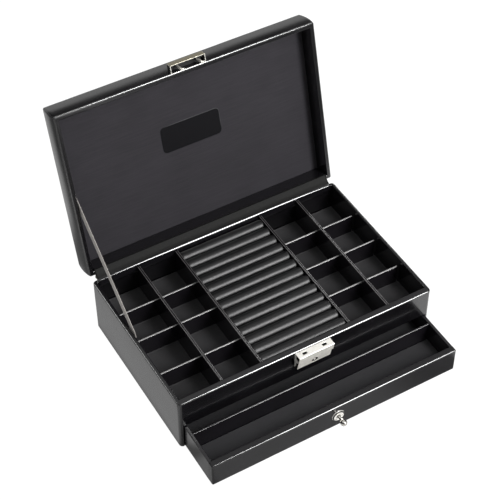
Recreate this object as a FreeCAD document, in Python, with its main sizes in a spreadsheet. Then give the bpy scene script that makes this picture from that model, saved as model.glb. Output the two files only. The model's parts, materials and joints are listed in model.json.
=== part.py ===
# Leather-covered ring case: a base with a pocket tray and a bed of ring rolls,
# a drawer under the tray, a lid on a full-width strip hinge and a key lock.
# Millimetres. +X runs to the right along the front, +Y to the back, +Z up.
# The origin is the middle of the underside. The lid stands open and the drawer
# is partly out; both are built closed and then placed by their Placement.

import FreeCAD, Part
import os
import re

os.makedirs("parts", exist_ok=True)
doc = FreeCAD.newDocument("ring_case")
sheet = doc.addObject("Spreadsheet::Sheet", "Sizes")

# Sizes, in millimetres and degrees
SIZES = [
    # case and lid boxes
    ("case_width", 290.0),
    ("case_depth", 184.0),
    ("base_height", 66.0),
    ("lid_height", 28.5),
    ("rim_gap", 0.3),
    ("corner_round", 4.0),
    ("board_round", 3.0),
    ("rim_round", 1.2),
    ("inner_round", 0.7),
    ("top_round", 2.5),
    ("top_board_chamfer", 1.0),
    ("leather", 1.0),
    ("turned_in", 0.8),
    ("base_side_wall", 4.0),
    ("base_back_wall", 4.3),
    ("base_front_wall", 7.0),
    ("lid_wall", 4.6),
    ("lid_inner_depth", 20.0),
    ("floor_board", 2.0),
    ("floor_inset", 0.8),
    ("skin_lift", 0.3),
    ("board_end", 3.4),
    # tray
    ("rail_low", 31.8),
    ("shelf_low", 31.6),
    ("shelf_board", 2.0),
    ("cloth", 0.8),
    ("tray_play", 0.1),
    ("long_divider", 2.8),
    ("long_outer", 95.3),
    ("long_outer_shift", 1.0),
    ("long_inner", 50.3),
    ("long_down", 0.3),
    ("cross_divider", 2.0),
    ("left_front_row_shift", -1.2),
    ("left_middle_row_shift", 3.3),
    ("left_back_row_shift", 0.1),
    ("right_front_row_shift", 1.5),
    ("right_middle_row_shift", 1.4),
    ("right_back_row_shift", 0.4),
    ("cross_down", 8.0),
    ("cross_end", 6.3),
    ("lap_play", 0.05),
    # ring rolls
    ("bed_down", 14.5),
    ("bed_play", 0.4),
    ("roll_gap", 0.2),
    ("roll_width", 13.0),
    ("roll_base", 10.0),
    ("roll_down", 0.8),
    ("roll_play", 0.5),
    # hinge
    ("hinge_back", 3.0),
    ("hinge_inset", 6.0),
    ("hinge_play", 0.3),
    ("open_angle", 104.5),
    ("pin_diameter", 2.0),
    ("pin_play", 0.03),
    ("knuckle_diameter", 4.0),
    ("knuckle_gap", 0.3),
    ("leaf", 0.6),
    ("leaf_front", 3.4),
    ("leaf_reach", 0.6),
    ("strip", 0.6),
    ("strip_play", 0.1),
    ("strip_drop", 8.0),
    ("strip_bend", 2.5),
    ("bend_over", 17.0),
    # stay strap
    ("stay_width", 9.4),
    ("stay_thick", 0.9),
    ("stay_play", 0.05),
    ("stay_base_shift", 3.5),
    ("stay_base_down", 11.0),
    ("stay_lid_shift", 3.4),
    ("stay_lid_deep", 15.3),
    # drawer
    ("drawer_out", 54.8),
    ("drawer_lift", 2.15),
    ("drawer_top", 30.5),
    ("drawer_front", 7.0),
    ("drawer_front_top", 31.3),
    ("front_play", 0.3),
    ("side_play", 0.5),
    ("drawer_side", 3.4),
    ("drawer_back_gap", 3.0),
    ("drawer_board", 3.0),
    ("drawer_pad", 2.75),
    ("drawer_divider", 2.0),
    ("bracelet_space", 35.6),
    ("pad_play", 0.1),
    # knob
    ("knob_high", 17.5),
    ("rosette_diameter", 14.0),
    ("rosette_thick", 1.6),
    ("rosette_edge", 0.5),
    ("rosette_ring", 11.6),
    ("rosette_lip", 0.8),
    ("rosette_hollow", 0.6),
    ("stem_diameter", 3.4),
    ("neck_diameter", 2.6),
    ("stem_in", 4.0),
    ("knob_reach", 10.3),
    ("knob_diameter", 7.0),
    ("stem_play", 0.03),
    # lock and catch
    ("lock_middle", 3.0),
    ("lock_length", 40.0),
    ("lock_drop", 20.2),
    ("lock_reach", 9.6),
    ("lock_foot", 5.2),
    ("lock_sheet", 0.8),
    ("lock_round", 0.7),
    ("end_wall", 9.6),
    ("end_notch", 1.6),
    ("ear_high", 9.2),
    ("ear_reach", 6.2),
    ("ear_out", 0.7),
    ("frame_sheet", 0.8),
    ("slot_wide", 4.8),
    ("slot_deep", 3.2),
    ("slot_shift", 0.8),
    ("hook_middle", 1.8),
    ("hook_space", 22.5),
    ("hook_out", 4.9),
    ("hook_stem", 2.2),
    ("hook_thick", 2.0),
    ("hook_barb", 1.6),
    ("hook_drop", 6.6),
    ("barb_high", 1.4),
    ("catch_middle", 0.9),
    ("catch_length", 39.0),
    ("catch_height", 7.8),
    ("catch_gap", 0.2),
    ("keyhole_diameter", 7.0),
    ("keyhole_shift", -0.2),
    ("keyhole_down", 15.7),
    ("post_diameter", 2.0),
    ("post_play", 0.05),
    ("cam_diameter", 5.6),
    ("cam_thick", 1.2),
    ("cam_back", 1.1),
    ("cam_arm", 1.6),
    ("cam_reach", 5.4),
    ("bolt_thick", 1.2),
    ("bolt_down", 5.1),
    ("bolt_half", 18.0),
    ("bolt_front", 7.2),
    ("bolt_rear", 2.4),
    ("bolt_play", 0.15),
    ("bolt_seat", 0.1),
    ("ledge_reach", 3.6),
    ("fork_play", 0.5),
    ("fork_leg", 1.2),
    ("fork_front", 5.9),
    ("fork_rear", 3.9),
    ("fork_drop", 6.4),
    # label patch
    ("label_width", 68.0),
    ("label_height", 30.0),
    ("label_middle", 0.5),
    ("label_forward", 14.0),
    ("label_thick", 0.4),
    ("label_round", 5.0),
]
for row, (word, number) in enumerate(SIZES, start=1):
    sheet.set("A%d" % row, word)
    sheet.set("B%d" % row, repr(number))
    sheet.setAlias("B%d" % row, word)
doc.recompute()

KNUCKLES = 13
ROWS = 3
WORDS = set(word for word, number in SIZES)
X_AXIS = FreeCAD.Vector(1, 0, 0)
Y_AXIS = FreeCAD.Vector(0, 1, 0)
pieces = []


def size(word):
    return float(sheet.get(word))


def bound(text):
    """Points each size word of an expression at its cell."""
    def cell(match):
        word = match.group(0)
        return "Sizes." + word if word in WORDS else word
    return re.sub(r"[a-z_]+", cell, str(text))


def box(name, x_range, y_range, z_range):
    """A block between pairs of expressions along X, Y and Z."""
    block = doc.addObject("Part::Box", name)
    for side, axis, pair in (("Length", "x", x_range), ("Width", "y", y_range), ("Height", "z", z_range)):
        low, high = bound(pair[0]), bound(pair[1])
        block.setExpression(side, "(%s) - (%s)" % (high, low))
        block.setExpression("Placement.Base." + axis, low)
    return block


def middle(half):
    """A pair of expressions at equal distances from the middle plane."""
    return ("-(%s)" % half, "(%s)" % half)


def around(centre, thick):
    """A pair of expressions on each side of a centre."""
    return ("%s - (%s) / 2" % (centre, thick), "%s + (%s) / 2" % (centre, thick))


def rod_x(name, radius, x_low, x_high, y, z):
    """A round bar along X."""
    rod = doc.addObject("Part::Cylinder", name)
    rod.setExpression("Radius", bound(radius))
    rod.setExpression("Height", "(%s) - (%s)" % (bound(x_high), bound(x_low)))
    rod.Placement.Rotation = FreeCAD.Rotation(Y_AXIS, 90)
    rod.setExpression("Placement.Base.x", bound(x_low))
    rod.setExpression("Placement.Base.y", bound(y))
    rod.setExpression("Placement.Base.z", bound(z))
    return rod


def rod_y(name, radius, y_front, y_back, x, z):
    """A round bar along Y, from its front end to its back end."""
    rod = doc.addObject("Part::Cylinder", name)
    rod.setExpression("Radius", bound(radius))
    rod.setExpression("Height", "(%s) - (%s)" % (bound(y_back), bound(y_front)))
    rod.Placement.Rotation = FreeCAD.Rotation(X_AXIS, -90)
    rod.setExpression("Placement.Base.x", bound(x))
    rod.setExpression("Placement.Base.y", bound(y_front))
    rod.setExpression("Placement.Base.z", bound(z))
    return rod


def fuse(name, shapes):
    joined = doc.addObject("Part::MultiFuse", name)
    joined.Shapes = shapes
    return joined


def cut(name, body, tools):
    """Takes the tools away from the body."""
    tool = tools[0] if len(tools) == 1 else fuse(name + "_tools", tools)
    left = doc.addObject("Part::Cut", name)
    left.Base = body
    left.Tool = tool
    return left


def rounded(name, base, chosen, radius):
    """Fillets the straight edges whose middle and direction pass the test."""
    doc.recompute()
    edges = []
    for number, edge in enumerate(base.Shape.Edges, start=1):
        if len(edge.Vertexes) < 2 or edge.Curve.TypeId != "Part::GeomLine":
            continue
        way = edge.Vertexes[1].Point - edge.Vertexes[0].Point
        if chosen(edge.CenterOfMass, way.normalize()):
            edges.append((number, size(radius), size(radius)))
    fillet = doc.addObject("Part::Fillet", name)
    fillet.Base = base
    fillet.Edges = edges
    doc.recompute()
    return fillet


def piece(shape, label, placement=None):
    """Names a finished sub-part and puts it in its place."""
    if placement is not None and not shape.isDerivedFrom("Part::Compound"):
        carrier = doc.addObject("Part::Compound", shape.Name + "_placed")
        carrier.Links = [shape]
        shape = carrier
    if placement is not None:
        shape.Placement = placement
    shape.Label = label
    pieces.append(shape)
    return shape


def upright(point, way):
    return abs(way.z) > 0.9


HALF_X = "case_width / 2"
HALF_Y = "case_depth / 2"
FRONT = "-case_depth / 2"
BACK = "case_depth / 2"
RIM = "base_height"
LID_RIM = "base_height + rim_gap"
LID_TOP = "base_height + rim_gap + lid_height"
LID_CEILING = "base_height + rim_gap + lid_inner_depth"
AXIS_Y = "case_depth / 2 + hinge_back"
AXIS_Z = "base_height + rim_gap / 2"
INNER_X = "case_width / 2 - base_side_wall"
TRAY_FRONT = "-case_depth / 2 + base_front_wall + tray_play"
TRAY_BACK = "case_depth / 2 - base_back_wall - strip - 2 * strip_play"
TRAY_FLOOR = "shelf_low + shelf_board + cloth"
LONG_TOP = "base_height - long_down"
CROSS_TOP = "base_height - cross_down"
BED_TOP = "base_height - bed_down"
ROLL_TOP = "base_height - roll_down"
BOLT_LOW = "base_height - bolt_down"

# The open lid is the closed lid turned back about the hinge axis
hinge_point = FreeCAD.Vector(
    0, size("case_depth") / 2 + size("hinge_back"), size("base_height") + size("rim_gap") / 2
)
lid_open = FreeCAD.Placement(
    FreeCAD.Vector(0, 0, 0), FreeCAD.Rotation(X_AXIS, -size("open_angle")), hinge_point
)
drawer_pulled = FreeCAD.Placement(FreeCAD.Vector(0, -size("drawer_out"), 0), FreeCAD.Rotation())

# Boards of the base
BOARD_X = "case_width / 2 - leather"
BOARD_IN = "case_width / 2 - base_side_wall + turned_in"
BOARD_LOW = "floor_board"
BOARD_HIGH = "base_height - leather"
SIDE_Y = ("-(case_depth / 2 - board_end)", "case_depth / 2 - board_end")

piece(box("side_board_l", ("-(%s)" % BOARD_X, "-(%s)" % BOARD_IN), SIDE_Y, (BOARD_LOW, BOARD_HIGH)),
      "base_board_left")
piece(box("side_board_r", (BOARD_IN, BOARD_X), SIDE_Y, (BOARD_LOW, BOARD_HIGH)), "base_board_right")
BACK_BOARD_HIGH = "base_height - leather - leaf - turned_in"
piece(box("back_board", middle(BOARD_IN),
          ("case_depth / 2 - base_back_wall + turned_in", "case_depth / 2 - leather"),
          (BOARD_LOW, BACK_BOARD_HIGH)), "base_board_back")
piece(box("front_board", middle(BOARD_IN),
          (FRONT + " + leather", FRONT + " + base_front_wall - turned_in"),
          ("rail_low + leather", BOARD_HIGH)), "base_board_front")

# Floor of the base, with its front edge showing under the drawer
floor_main = box("floor_main", middle(BOARD_X), SIDE_Y, ("0", "floor_board"))
floor_lip = box("floor_lip", middle(INNER_X), (FRONT + " + floor_inset", "0"), ("0", "floor_board"))
piece(fuse("floor_sheet", [floor_main, floor_lip]), "base_bottom")

# Leather of the base: walls wrapped outside, over the rim and down the inside
base_block = box("base_block", middle(HALF_X), middle(HALF_Y), ("skin_lift", RIM))
base_corners = rounded("base_corners", base_block, upright, "corner_round")
base_hollow = box("base_hollow", middle(INNER_X),
                  (FRONT + " + base_front_wall", BACK + " - base_back_wall"), ("-1", RIM + " + 5"))
base_ring = cut("base_ring", base_corners, [base_hollow])


def on_edge(height, half_x, y_values):
    """A test for the straight edges of a rim: its height, its half width and its two ends."""
    return lambda p, w: abs(p.z - height) < 0.01 and abs(w.z) < 0.1 and (
        abs(abs(p.x) - half_x) < 0.01 or min(abs(p.y - y) for y in y_values) < 0.01)


half_x = size("case_width") / 2
half_y = size("case_depth") / 2
inner_x = half_x - size("base_side_wall")
base_rim = rounded("base_rim", base_ring, on_edge(size("base_height"), half_x, (-half_y, half_y)),
                   "rim_round")
base_lip = rounded("base_lip", base_rim,
                   on_edge(size("base_height"), inner_x,
                           (size("base_front_wall") - half_y, half_y - size("base_back_wall"))),
                   "inner_round")


def board_room(name):
    """Blocks that leave room for the boards inside the leather."""
    return [
        box(name + "_l", ("-(%s)" % BOARD_X, "-(%s)" % BOARD_IN), SIDE_Y, ("-1", BOARD_HIGH)),
        box(name + "_r", (BOARD_IN, BOARD_X), SIDE_Y, ("-1", BOARD_HIGH)),
        box(name + "_b", middle(BOARD_IN),
            ("case_depth / 2 - base_back_wall + turned_in", "case_depth / 2 - leather"),
            ("-1", BACK_BOARD_HIGH)),
        box(name + "_f", middle(BOARD_IN),
            (FRONT + " + leather", FRONT + " + base_front_wall - turned_in"),
            ("rail_low + leather", BOARD_HIGH)),
        box(name + "_z", middle(BOARD_X), SIDE_Y, ("-1", "floor_board")),
    ]


drawer_mouth = box("drawer_mouth", middle(INNER_X),
                   (FRONT + " - 5", FRONT + " + base_front_wall + 1"), ("-1", "rail_low"))
HINGE_X = "case_width / 2 - hinge_inset + hinge_play"
strip_seat = box("strip_seat", middle(HINGE_X), (BACK + " - base_back_wall - 2", BACK + " + 5"),
                 ("base_height - turned_in", RIM + " + 5"))
leaf_seat = box("leaf_seat", middle(HINGE_X), (BACK + " - leaf_front - 0.2", BACK + " + 5"),
                ("base_height - turned_in - leaf", RIM + " + 5"))
piece(cut("base_skin", base_lip, board_room("room") + [drawer_mouth, strip_seat, leaf_seat]),
      "base_leather")

# Tray: shelf, cloth, dividers that cross with half laps
piece(box("shelf_sheet", middle(INNER_X + " - tray_play"),
          (TRAY_FRONT, BACK + " - base_back_wall - tray_play"), ("shelf_low", "shelf_low + shelf_board")),
      "shelf")
piece(box("tray_cloth", middle(INNER_X + " - tray_play"), (TRAY_FRONT, TRAY_BACK),
          ("shelf_low + shelf_board", TRAY_FLOOR)), "tray_lining")

ROW_STEP = "(case_depth - base_front_wall - base_back_wall - strip - 3 * strip_play) / 4"
LAP = "(%s + %s) / 2" % (TRAY_FLOOR, CROSS_TOP)


def row_middle(side, row):
    """The middle of a cross divider. Each is set by hand, a little off an even spacing."""
    shift = "%s_%s_row_shift" % ("left" if side < 0 else "right", ("front", "middle", "back")[row - 1])
    return "%s + %d * %s + %s" % (TRAY_FRONT, row, ROW_STEP, shift)


def long_divider(number, centre, side=0):
    sheet_of_card = box("long_%d" % number, around(centre, "long_divider"), (TRAY_FRONT, TRAY_BACK),
                        (TRAY_FLOOR, LONG_TOP))
    if side:
        slots = [
            box("long_%d_slot_%d" % (number, row), around(centre, "long_divider + 2"),
                around(row_middle(side, row), "cross_divider + 2 * lap_play"), (TRAY_FLOOR + " - 1", LAP))
            for row in range(1, ROWS + 1)
        ]
        sheet_of_card = cut("long_%d_cut" % number, sheet_of_card, slots)
    piece(sheet_of_card, "divider_long_%d" % number)


LONG_LEFT, LONG_RIGHT = "long_outer_shift - long_outer", "long_outer_shift + long_outer"
long_divider(1, LONG_LEFT, -1)
long_divider(2, "-long_inner")
long_divider(3, "long_inner")
long_divider(4, LONG_RIGHT, 1)


def cross_divider(number, side, row):
    outer = "case_width / 2 - cross_end"
    inner = "long_inner + long_divider / 2 + lap_play"
    x_pair = ("-(%s)" % outer, "-(%s)" % inner) if side < 0 else (inner, outer)
    card = box("cross_%d" % number, x_pair, around(row_middle(side, row), "cross_divider"),
               (TRAY_FLOOR, CROSS_TOP))
    centre = LONG_LEFT if side < 0 else LONG_RIGHT
    slot = box("cross_%d_slot" % number, around(centre, "long_divider + 2 * lap_play"),
               around(row_middle(side, row), "cross_divider + 2"), (LAP, CROSS_TOP + " + 1"))
    piece(cut("cross_%d_cut" % number, card, [slot]), "divider_cross_%d" % number)


for row in range(1, ROWS + 1):
    cross_divider(row, -1, row)
    cross_divider(row + ROWS, 1, row)

# Ring bed with its soft rolls
BED_X = "long_inner - long_divider / 2 - bed_play"
piece(box("bed_block", middle(BED_X), (TRAY_FRONT, TRAY_BACK), (TRAY_FLOOR, BED_TOP)), "ring_bed")
tray_length = (size("case_depth") - size("base_front_wall") - size("base_back_wall") - size("strip")
               - 3 * size("tray_play"))
rolls = int(tray_length / (size("roll_width") + size("roll_gap")))
ROLL_STEP = "((%s) - (%s)) / %d" % (TRAY_BACK, TRAY_FRONT, rolls)
ROLL_HALF = BED_X + " - roll_play + bed_play"
ROLL_AXIS = ROLL_TOP + " - roll_width / 2"


def ring_roll(number):
    """A soft round roll that narrows to its glued foot."""
    centre = "(%s) + %s * %s" % (TRAY_FRONT, number - 0.5, ROLL_STEP)
    foot = box("roll_foot_%02d" % number, middle(ROLL_HALF), around(centre, "roll_base"),
               (BED_TOP, ROLL_AXIS))
    crown = rod_x("roll_crown_%02d" % number, "roll_width / 2", "-(%s)" % ROLL_HALF, ROLL_HALF,
                  centre, ROLL_AXIS)
    piece(fuse("roll_%02d" % number, [foot, crown]), "ring_roll_%02d" % number)


for number in range(1, rolls + 1):
    ring_roll(number)

# Strip hinge: two leaves with knuckles on one pin
LEAF_X = "case_width / 2 - hinge_inset"
STEP = "2 * (%s) / %d" % (LEAF_X, KNUCKLES)


def hinge_leaf(name, first, z_low, z_high):
    """A leaf whose knuckles are every second one from the first."""
    plate = box(name + "_plate", middle(LEAF_X), (BACK + " - leaf_front", BACK + " + leaf_reach"),
                (z_low, z_high))
    shapes = [plate]
    for knuckle in range(first, KNUCKLES, 2):
        low = "-(%s) + %d * %s + knuckle_gap / 2" % (LEAF_X, knuckle, STEP)
        high = "-(%s) + %d * %s - knuckle_gap / 2" % (LEAF_X, knuckle + 1, STEP)
        shapes.append(box("%s_tab_%d" % (name, knuckle), (low, high),
                          (BACK + " + leaf_reach", AXIS_Y + " - 0.5"), (z_low, z_high)))
        shapes.append(rod_x("%s_tube_%d" % (name, knuckle), "knuckle_diameter / 2", low, high,
                            AXIS_Y, AXIS_Z))
    bore = rod_x(name + "_bore", "pin_diameter / 2 + pin_play", "-(%s) - 5" % LEAF_X,
                 "(%s) + 5" % LEAF_X, AXIS_Y, AXIS_Z)
    return cut(name, fuse(name + "_whole", shapes), [bore])


piece(hinge_leaf("leaf_low", 0, "base_height - turned_in - leaf", "base_height - turned_in"),
      "hinge_leaf_base")
piece(hinge_leaf("leaf_high", 1, LID_RIM + " + turned_in", LID_RIM + " + turned_in + leaf"),
      "hinge_leaf_lid", lid_open)
piece(rod_x("pin", "pin_diameter / 2", "-(%s) - 0.4" % LEAF_X, "(%s) + 0.4" % LEAF_X, AXIS_Y, AXIS_Z),
      "hinge_pin")

# Leather strip over the hinge: down the base wall, round the pin, up the lid wall
STRIP_X = middle(LEAF_X)
STRIP_BACK = AXIS_Y + " - strip_bend - 0.1"
strip_low = [
    box("strip_fall", STRIP_X,
        (BACK + " - base_back_wall - strip", BACK + " - base_back_wall"),
        ("base_height - turned_in + strip - strip_drop", "base_height - turned_in + strip")),
    box("strip_flat", STRIP_X, (BACK + " - base_back_wall - strip", STRIP_BACK),
        ("base_height - turned_in", "base_height - turned_in + strip")),
]
strip_high = [
    box("strip_rise", STRIP_X,
        (BACK + " - lid_wall - strip - strip_play", BACK + " - lid_wall - strip_play"),
        (LID_RIM + " + turned_in - strip - strip_play", LID_CEILING + " - strip_play")),
    box("strip_shelf", STRIP_X, (BACK + " - lid_wall - strip - strip_play", STRIP_BACK),
        (LID_RIM + " + turned_in - strip - strip_play", LID_RIM + " + turned_in - strip_play")),
]
strip_raised = fuse("strip_raised", strip_high)
strip_raised.Placement = lid_open
bend_outer = rod_x("bend_outer", "strip_bend + strip", "-(%s)" % LEAF_X, LEAF_X, AXIS_Y, AXIS_Z)
bend_inner = rod_x("bend_inner", "strip_bend", "-(%s) - 1" % LEAF_X, "(%s) + 1" % LEAF_X, AXIS_Y, AXIS_Z)
# The sector starts a little below the base rim and ends a little past the lid rim
for bend in (bend_outer, bend_inner):
    bend.setExpression("Angle", bound("open_angle + 2 * bend_over"))
    foot = 270 - size("bend_over") - size("open_angle")
    bend.Placement.Rotation = FreeCAD.Rotation(X_AXIS, foot).multiply(FreeCAD.Rotation(Y_AXIS, 90))
strip_bend = cut("strip_bend_sheet", bend_outer, [bend_inner])
piece(fuse("strip_whole", strip_low + [strip_bend, strip_raised]), "hinge_strip")

# Lid: leather over a frame and a top board, with a lining
lid_block = box("lid_block", middle(HALF_X), middle(HALF_Y), (LID_RIM, LID_TOP))
lid_corners = rounded("lid_corners", lid_block, upright, "corner_round")
lid_low = size("base_height") + size("rim_gap")
lid_crown = rounded("lid_crown", lid_corners,
                    on_edge(lid_low + size("lid_height"), half_x, (-half_y, half_y)), "top_round")
lid_edge = rounded("lid_edge", lid_crown, on_edge(lid_low, half_x, (-half_y, half_y)), "rim_round")
LID_IN_X = "case_width / 2 - lid_wall"
LID_IN_Y = "case_depth / 2 - lid_wall"
lid_hollow = box("lid_hollow", middle(LID_IN_X), middle(LID_IN_Y),
                 (RIM + " - 5", LID_CEILING + " + leather"))
lid_ring = cut("lid_ring", lid_edge, [lid_hollow])
lid_in_y = half_y - size("lid_wall")
lid_lip = rounded("lid_lip", lid_ring,
                  on_edge(lid_low, half_x - size("lid_wall"), (-lid_in_y, lid_in_y)), "inner_round")


def lid_frame_blocks(name):
    whole = box(name + "_whole", middle("case_width / 2 - leather"), middle("case_depth / 2 - leather"),
                (LID_RIM + " + leather", LID_CEILING + " + leather"))
    outside = rounded(name + "_outside", whole, upright, "board_round")
    inside = box(name + "_inside", middle(LID_IN_X + " + turned_in"), middle(LID_IN_Y + " + turned_in"),
                 (LID_RIM, LID_CEILING + " + 5"))
    return cut(name, outside, [inside])


def lid_top_block(name):
    whole = box(name + "_whole", middle("case_width / 2 - leather"), middle("case_depth / 2 - leather"),
                (LID_CEILING + " + leather", LID_TOP + " - leather"))
    chamfer = doc.addObject("Part::Chamfer", name)
    chamfer.Base = whole
    doc.recompute()
    top = size("base_height") + size("rim_gap") + size("lid_height") - size("leather")
    cut_back = size("top_board_chamfer")
    corner = size("board_round")
    chamfer.Edges = [
        (number, corner, corner) if abs(edge.BoundBox.ZLength) > 1 else (number, cut_back, cut_back)
        for number, edge in enumerate(whole.Shape.Edges, start=1)
        if abs(edge.BoundBox.ZLength) > 1 or abs(edge.BoundBox.ZMax - top) < 0.01
    ]
    return chamfer


def lid_seats(name):
    """Rooms for the strip and the leaf in the back rim of the lid."""
    return [
        box(name + "_strip", middle(HINGE_X), (BACK + " - lid_wall - 2", BACK + " + 5"),
            (RIM, LID_RIM + " + turned_in")),
        box(name + "_leaf", middle(HINGE_X), (BACK + " - leaf_front - 0.2", BACK + " + 5"),
            (RIM, LID_RIM + " + turned_in + leaf")),
    ]


lid_rooms = [lid_frame_blocks("frame_room"), lid_top_block("top_room")]
piece(cut("lid_skin", lid_lip, lid_rooms + lid_seats("seat")), "lid_leather", lid_open)
piece(cut("lid_frame_cut", lid_frame_blocks("frame_wood"), lid_seats("frame_seat")), "lid_frame", lid_open)
piece(lid_top_block("top_wood"), "lid_board_top", lid_open)
piece(box("lid_cloth", middle(LID_IN_X + " - tray_play"), middle(LID_IN_Y + " - tray_play"),
          (LID_CEILING, LID_CEILING + " + leather")), "lid_lining", lid_open)
label_block = box("label_block", around("label_middle", "label_width"),
                  around("-label_forward", "label_height"),
                  (LID_CEILING + " - label_thick", LID_CEILING))
piece(rounded("label_patch", label_block, upright, "label_round"), "label_plaque", lid_open)

# Stay strap: a flat leather strip beside the left walls, drawn tight by the open lid
lid_anchor = FreeCAD.Vector(
    0, -size("stay_lid_shift"), size("base_height") + size("rim_gap") + size("stay_lid_deep")
)
base_anchor = FreeCAD.Vector(0, size("stay_base_shift"), size("base_height") - size("stay_base_down"))
span = lid_open.multVec(lid_anchor) - base_anchor
stay = doc.addObject("Part::Box", "stay_strip")
stay.Length = span.Length
stay.setExpression("Width", bound("stay_thick"))
stay.setExpression("Height", bound("stay_width"))
slope = FreeCAD.Rotation(FreeCAD.Vector(0, 1, 0), span)
across = slope.multVec(FreeCAD.Vector(0, 0, -size("stay_width") / 2))
wall_face = max(size("lid_wall"), size("base_side_wall")) + size("stay_play")
base_anchor.x = -size("case_width") / 2 + wall_face + size("stay_thick")
stay_turn = slope.multiply(FreeCAD.Rotation(FreeCAD.Vector(0, 0, 1), 90))
piece(stay, "lid_stay", FreeCAD.Placement(base_anchor + across, stay_turn))

# Drawer
DR_X = INNER_X + " - side_play"
DR_IN_X = DR_X + " - drawer_side"
DR_FRONT = FRONT + " + drawer_front"
DR_BACK = BACK + " - base_back_wall - drawer_back_gap"
stem_hole = rod_y("stem_hole", "stem_diameter / 2 + stem_play", FRONT + " - 1",
                  FRONT + " + leather + stem_in", "0", "knob_high")
front_block = box("front_block", middle(INNER_X + " - front_play"), (FRONT, DR_FRONT),
                  ("drawer_lift", "drawer_front_top"))
front_rounded = rounded("front_rounded", front_block, lambda p, w: p.y < -size("case_depth") / 2 + 0.1,
                        "rim_round")
front_core = box("front_core", middle(INNER_X + " - front_play - leather"),
                 (FRONT + " + leather", DR_FRONT + " - turned_in"),
                 ("drawer_lift + leather", "drawer_front_top - leather"))
piece(cut("front_leather", front_rounded, [front_core, stem_hole]), "drawer_front_leather", drawer_pulled)
front_wood = box("front_wood", middle(INNER_X + " - front_play - leather"),
                 (FRONT + " + leather", DR_FRONT + " - turned_in"),
                 ("drawer_lift + leather", "drawer_front_top - leather"))
wood_hole = rod_y("wood_hole", "stem_diameter / 2 + stem_play", FRONT + " - 1",
                  FRONT + " + leather + stem_in", "0", "knob_high")
piece(cut("front_board_cut", front_wood, [wood_hole]), "drawer_front_board", drawer_pulled)
piece(box("drawer_l", ("-(%s)" % DR_X, "-(%s)" % DR_IN_X), (DR_FRONT, DR_BACK),
          ("drawer_lift", "drawer_top")), "drawer_side_left", drawer_pulled)
piece(box("drawer_r", (DR_IN_X, DR_X), (DR_FRONT, DR_BACK), ("drawer_lift", "drawer_top")),
      "drawer_side_right", drawer_pulled)
piece(box("drawer_b", middle(DR_IN_X), (DR_BACK + " - drawer_side", DR_BACK),
          ("drawer_lift", "drawer_top")), "drawer_back", drawer_pulled)
piece(box("drawer_z", middle(DR_IN_X), (DR_FRONT, DR_BACK + " - drawer_side"),
          ("drawer_lift", "drawer_lift + drawer_board")), "drawer_bottom", drawer_pulled)
DIV_Y = DR_FRONT + " + bracelet_space"
DR_FLOOR = "drawer_lift + drawer_board"
piece(box("drawer_d", middle(DR_IN_X), (DIV_Y, DIV_Y + " + drawer_divider"), (DR_FLOOR, "drawer_top")),
      "drawer_divider_strip", drawer_pulled)
piece(box("pad_f", middle(DR_IN_X + " - pad_play"), (DR_FRONT + " + pad_play", DIV_Y + " - pad_play"),
          (DR_FLOOR, DR_FLOOR + " + drawer_pad")), "drawer_pad_front", drawer_pulled)
piece(box("pad_b", middle(DR_IN_X + " - pad_play"),
          (DIV_Y + " + drawer_divider + pad_play", DR_BACK + " - drawer_side - pad_play"),
          (DR_FLOOR, DR_FLOOR + " + drawer_pad")), "drawer_pad_back", drawer_pulled)

# Knob and its rosette
# The rosette is a low turned cup: a sloped edge round a raised ring and a dished middle
rosette_foot = rod_y("rosette_foot", "rosette_diameter / 2", FRONT + " - rosette_edge", FRONT, "0",
                     "knob_high")
rosette_slope = doc.addObject("Part::Cone", "rosette_slope")
rosette_slope.setExpression("Radius1", bound("rosette_diameter / 2"))
rosette_slope.setExpression("Radius2", bound("rosette_ring / 2"))
rosette_slope.setExpression("Height", bound("rosette_thick - rosette_edge"))
rosette_slope.Placement.Rotation = FreeCAD.Rotation(X_AXIS, 90)
rosette_slope.setExpression("Placement.Base.y", bound(FRONT + " - rosette_edge"))
rosette_slope.setExpression("Placement.Base.z", bound("knob_high"))
rosette_dish = doc.addObject("Part::Cone", "rosette_dish")
rosette_dish.setExpression("Radius1", bound("rosette_ring / 2 - rosette_lip"))
rosette_dish.setExpression("Radius2", bound("stem_diameter / 2 + rosette_lip"))
rosette_dish.setExpression("Height", bound("rosette_hollow"))
rosette_dish.Placement.Rotation = FreeCAD.Rotation(X_AXIS, -90)
rosette_dish.setExpression("Placement.Base.y", bound(FRONT + " - rosette_thick"))
rosette_dish.setExpression("Placement.Base.z", bound("knob_high"))
rosette_hole = rod_y("rosette_hole", "stem_diameter / 2 + stem_play", FRONT + " - 5", FRONT + " + 5", "0",
                     "knob_high")
piece(cut("rosette", fuse("rosette_cup", [rosette_foot, rosette_slope]), [rosette_dish, rosette_hole]),
      "knob_rosette", drawer_pulled)
stem = rod_y("stem", "stem_diameter / 2", FRONT + " - knob_reach / 2",
             FRONT + " + leather + stem_in - 0.1", "0", "knob_high")
neck = doc.addObject("Part::Cone", "neck")
neck.setExpression("Radius1", bound("stem_diameter / 2"))
neck.setExpression("Radius2", bound("neck_diameter / 2"))
neck.setExpression("Height", bound("knob_reach / 2"))
neck.Placement.Rotation = FreeCAD.Rotation(X_AXIS, 90)
neck.setExpression("Placement.Base.y", bound(FRONT + " - knob_reach / 2"))
neck.setExpression("Placement.Base.z", bound("knob_high"))
ball = doc.addObject("Part::Sphere", "ball")
ball.setExpression("Radius", bound("knob_diameter / 2"))
ball.setExpression("Placement.Base.y", bound(FRONT + " - knob_reach"))
ball.setExpression("Placement.Base.z", bound("knob_high"))
piece(fuse("knob_turned", [stem, neck, ball]), "knob", drawer_pulled)

# Lock: a wedge-shaped case on the front rail, its back plate, bolt and cam
LOCK_X = around("lock_middle", "lock_length")
FACE = FRONT + " - frame_sheet"


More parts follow.
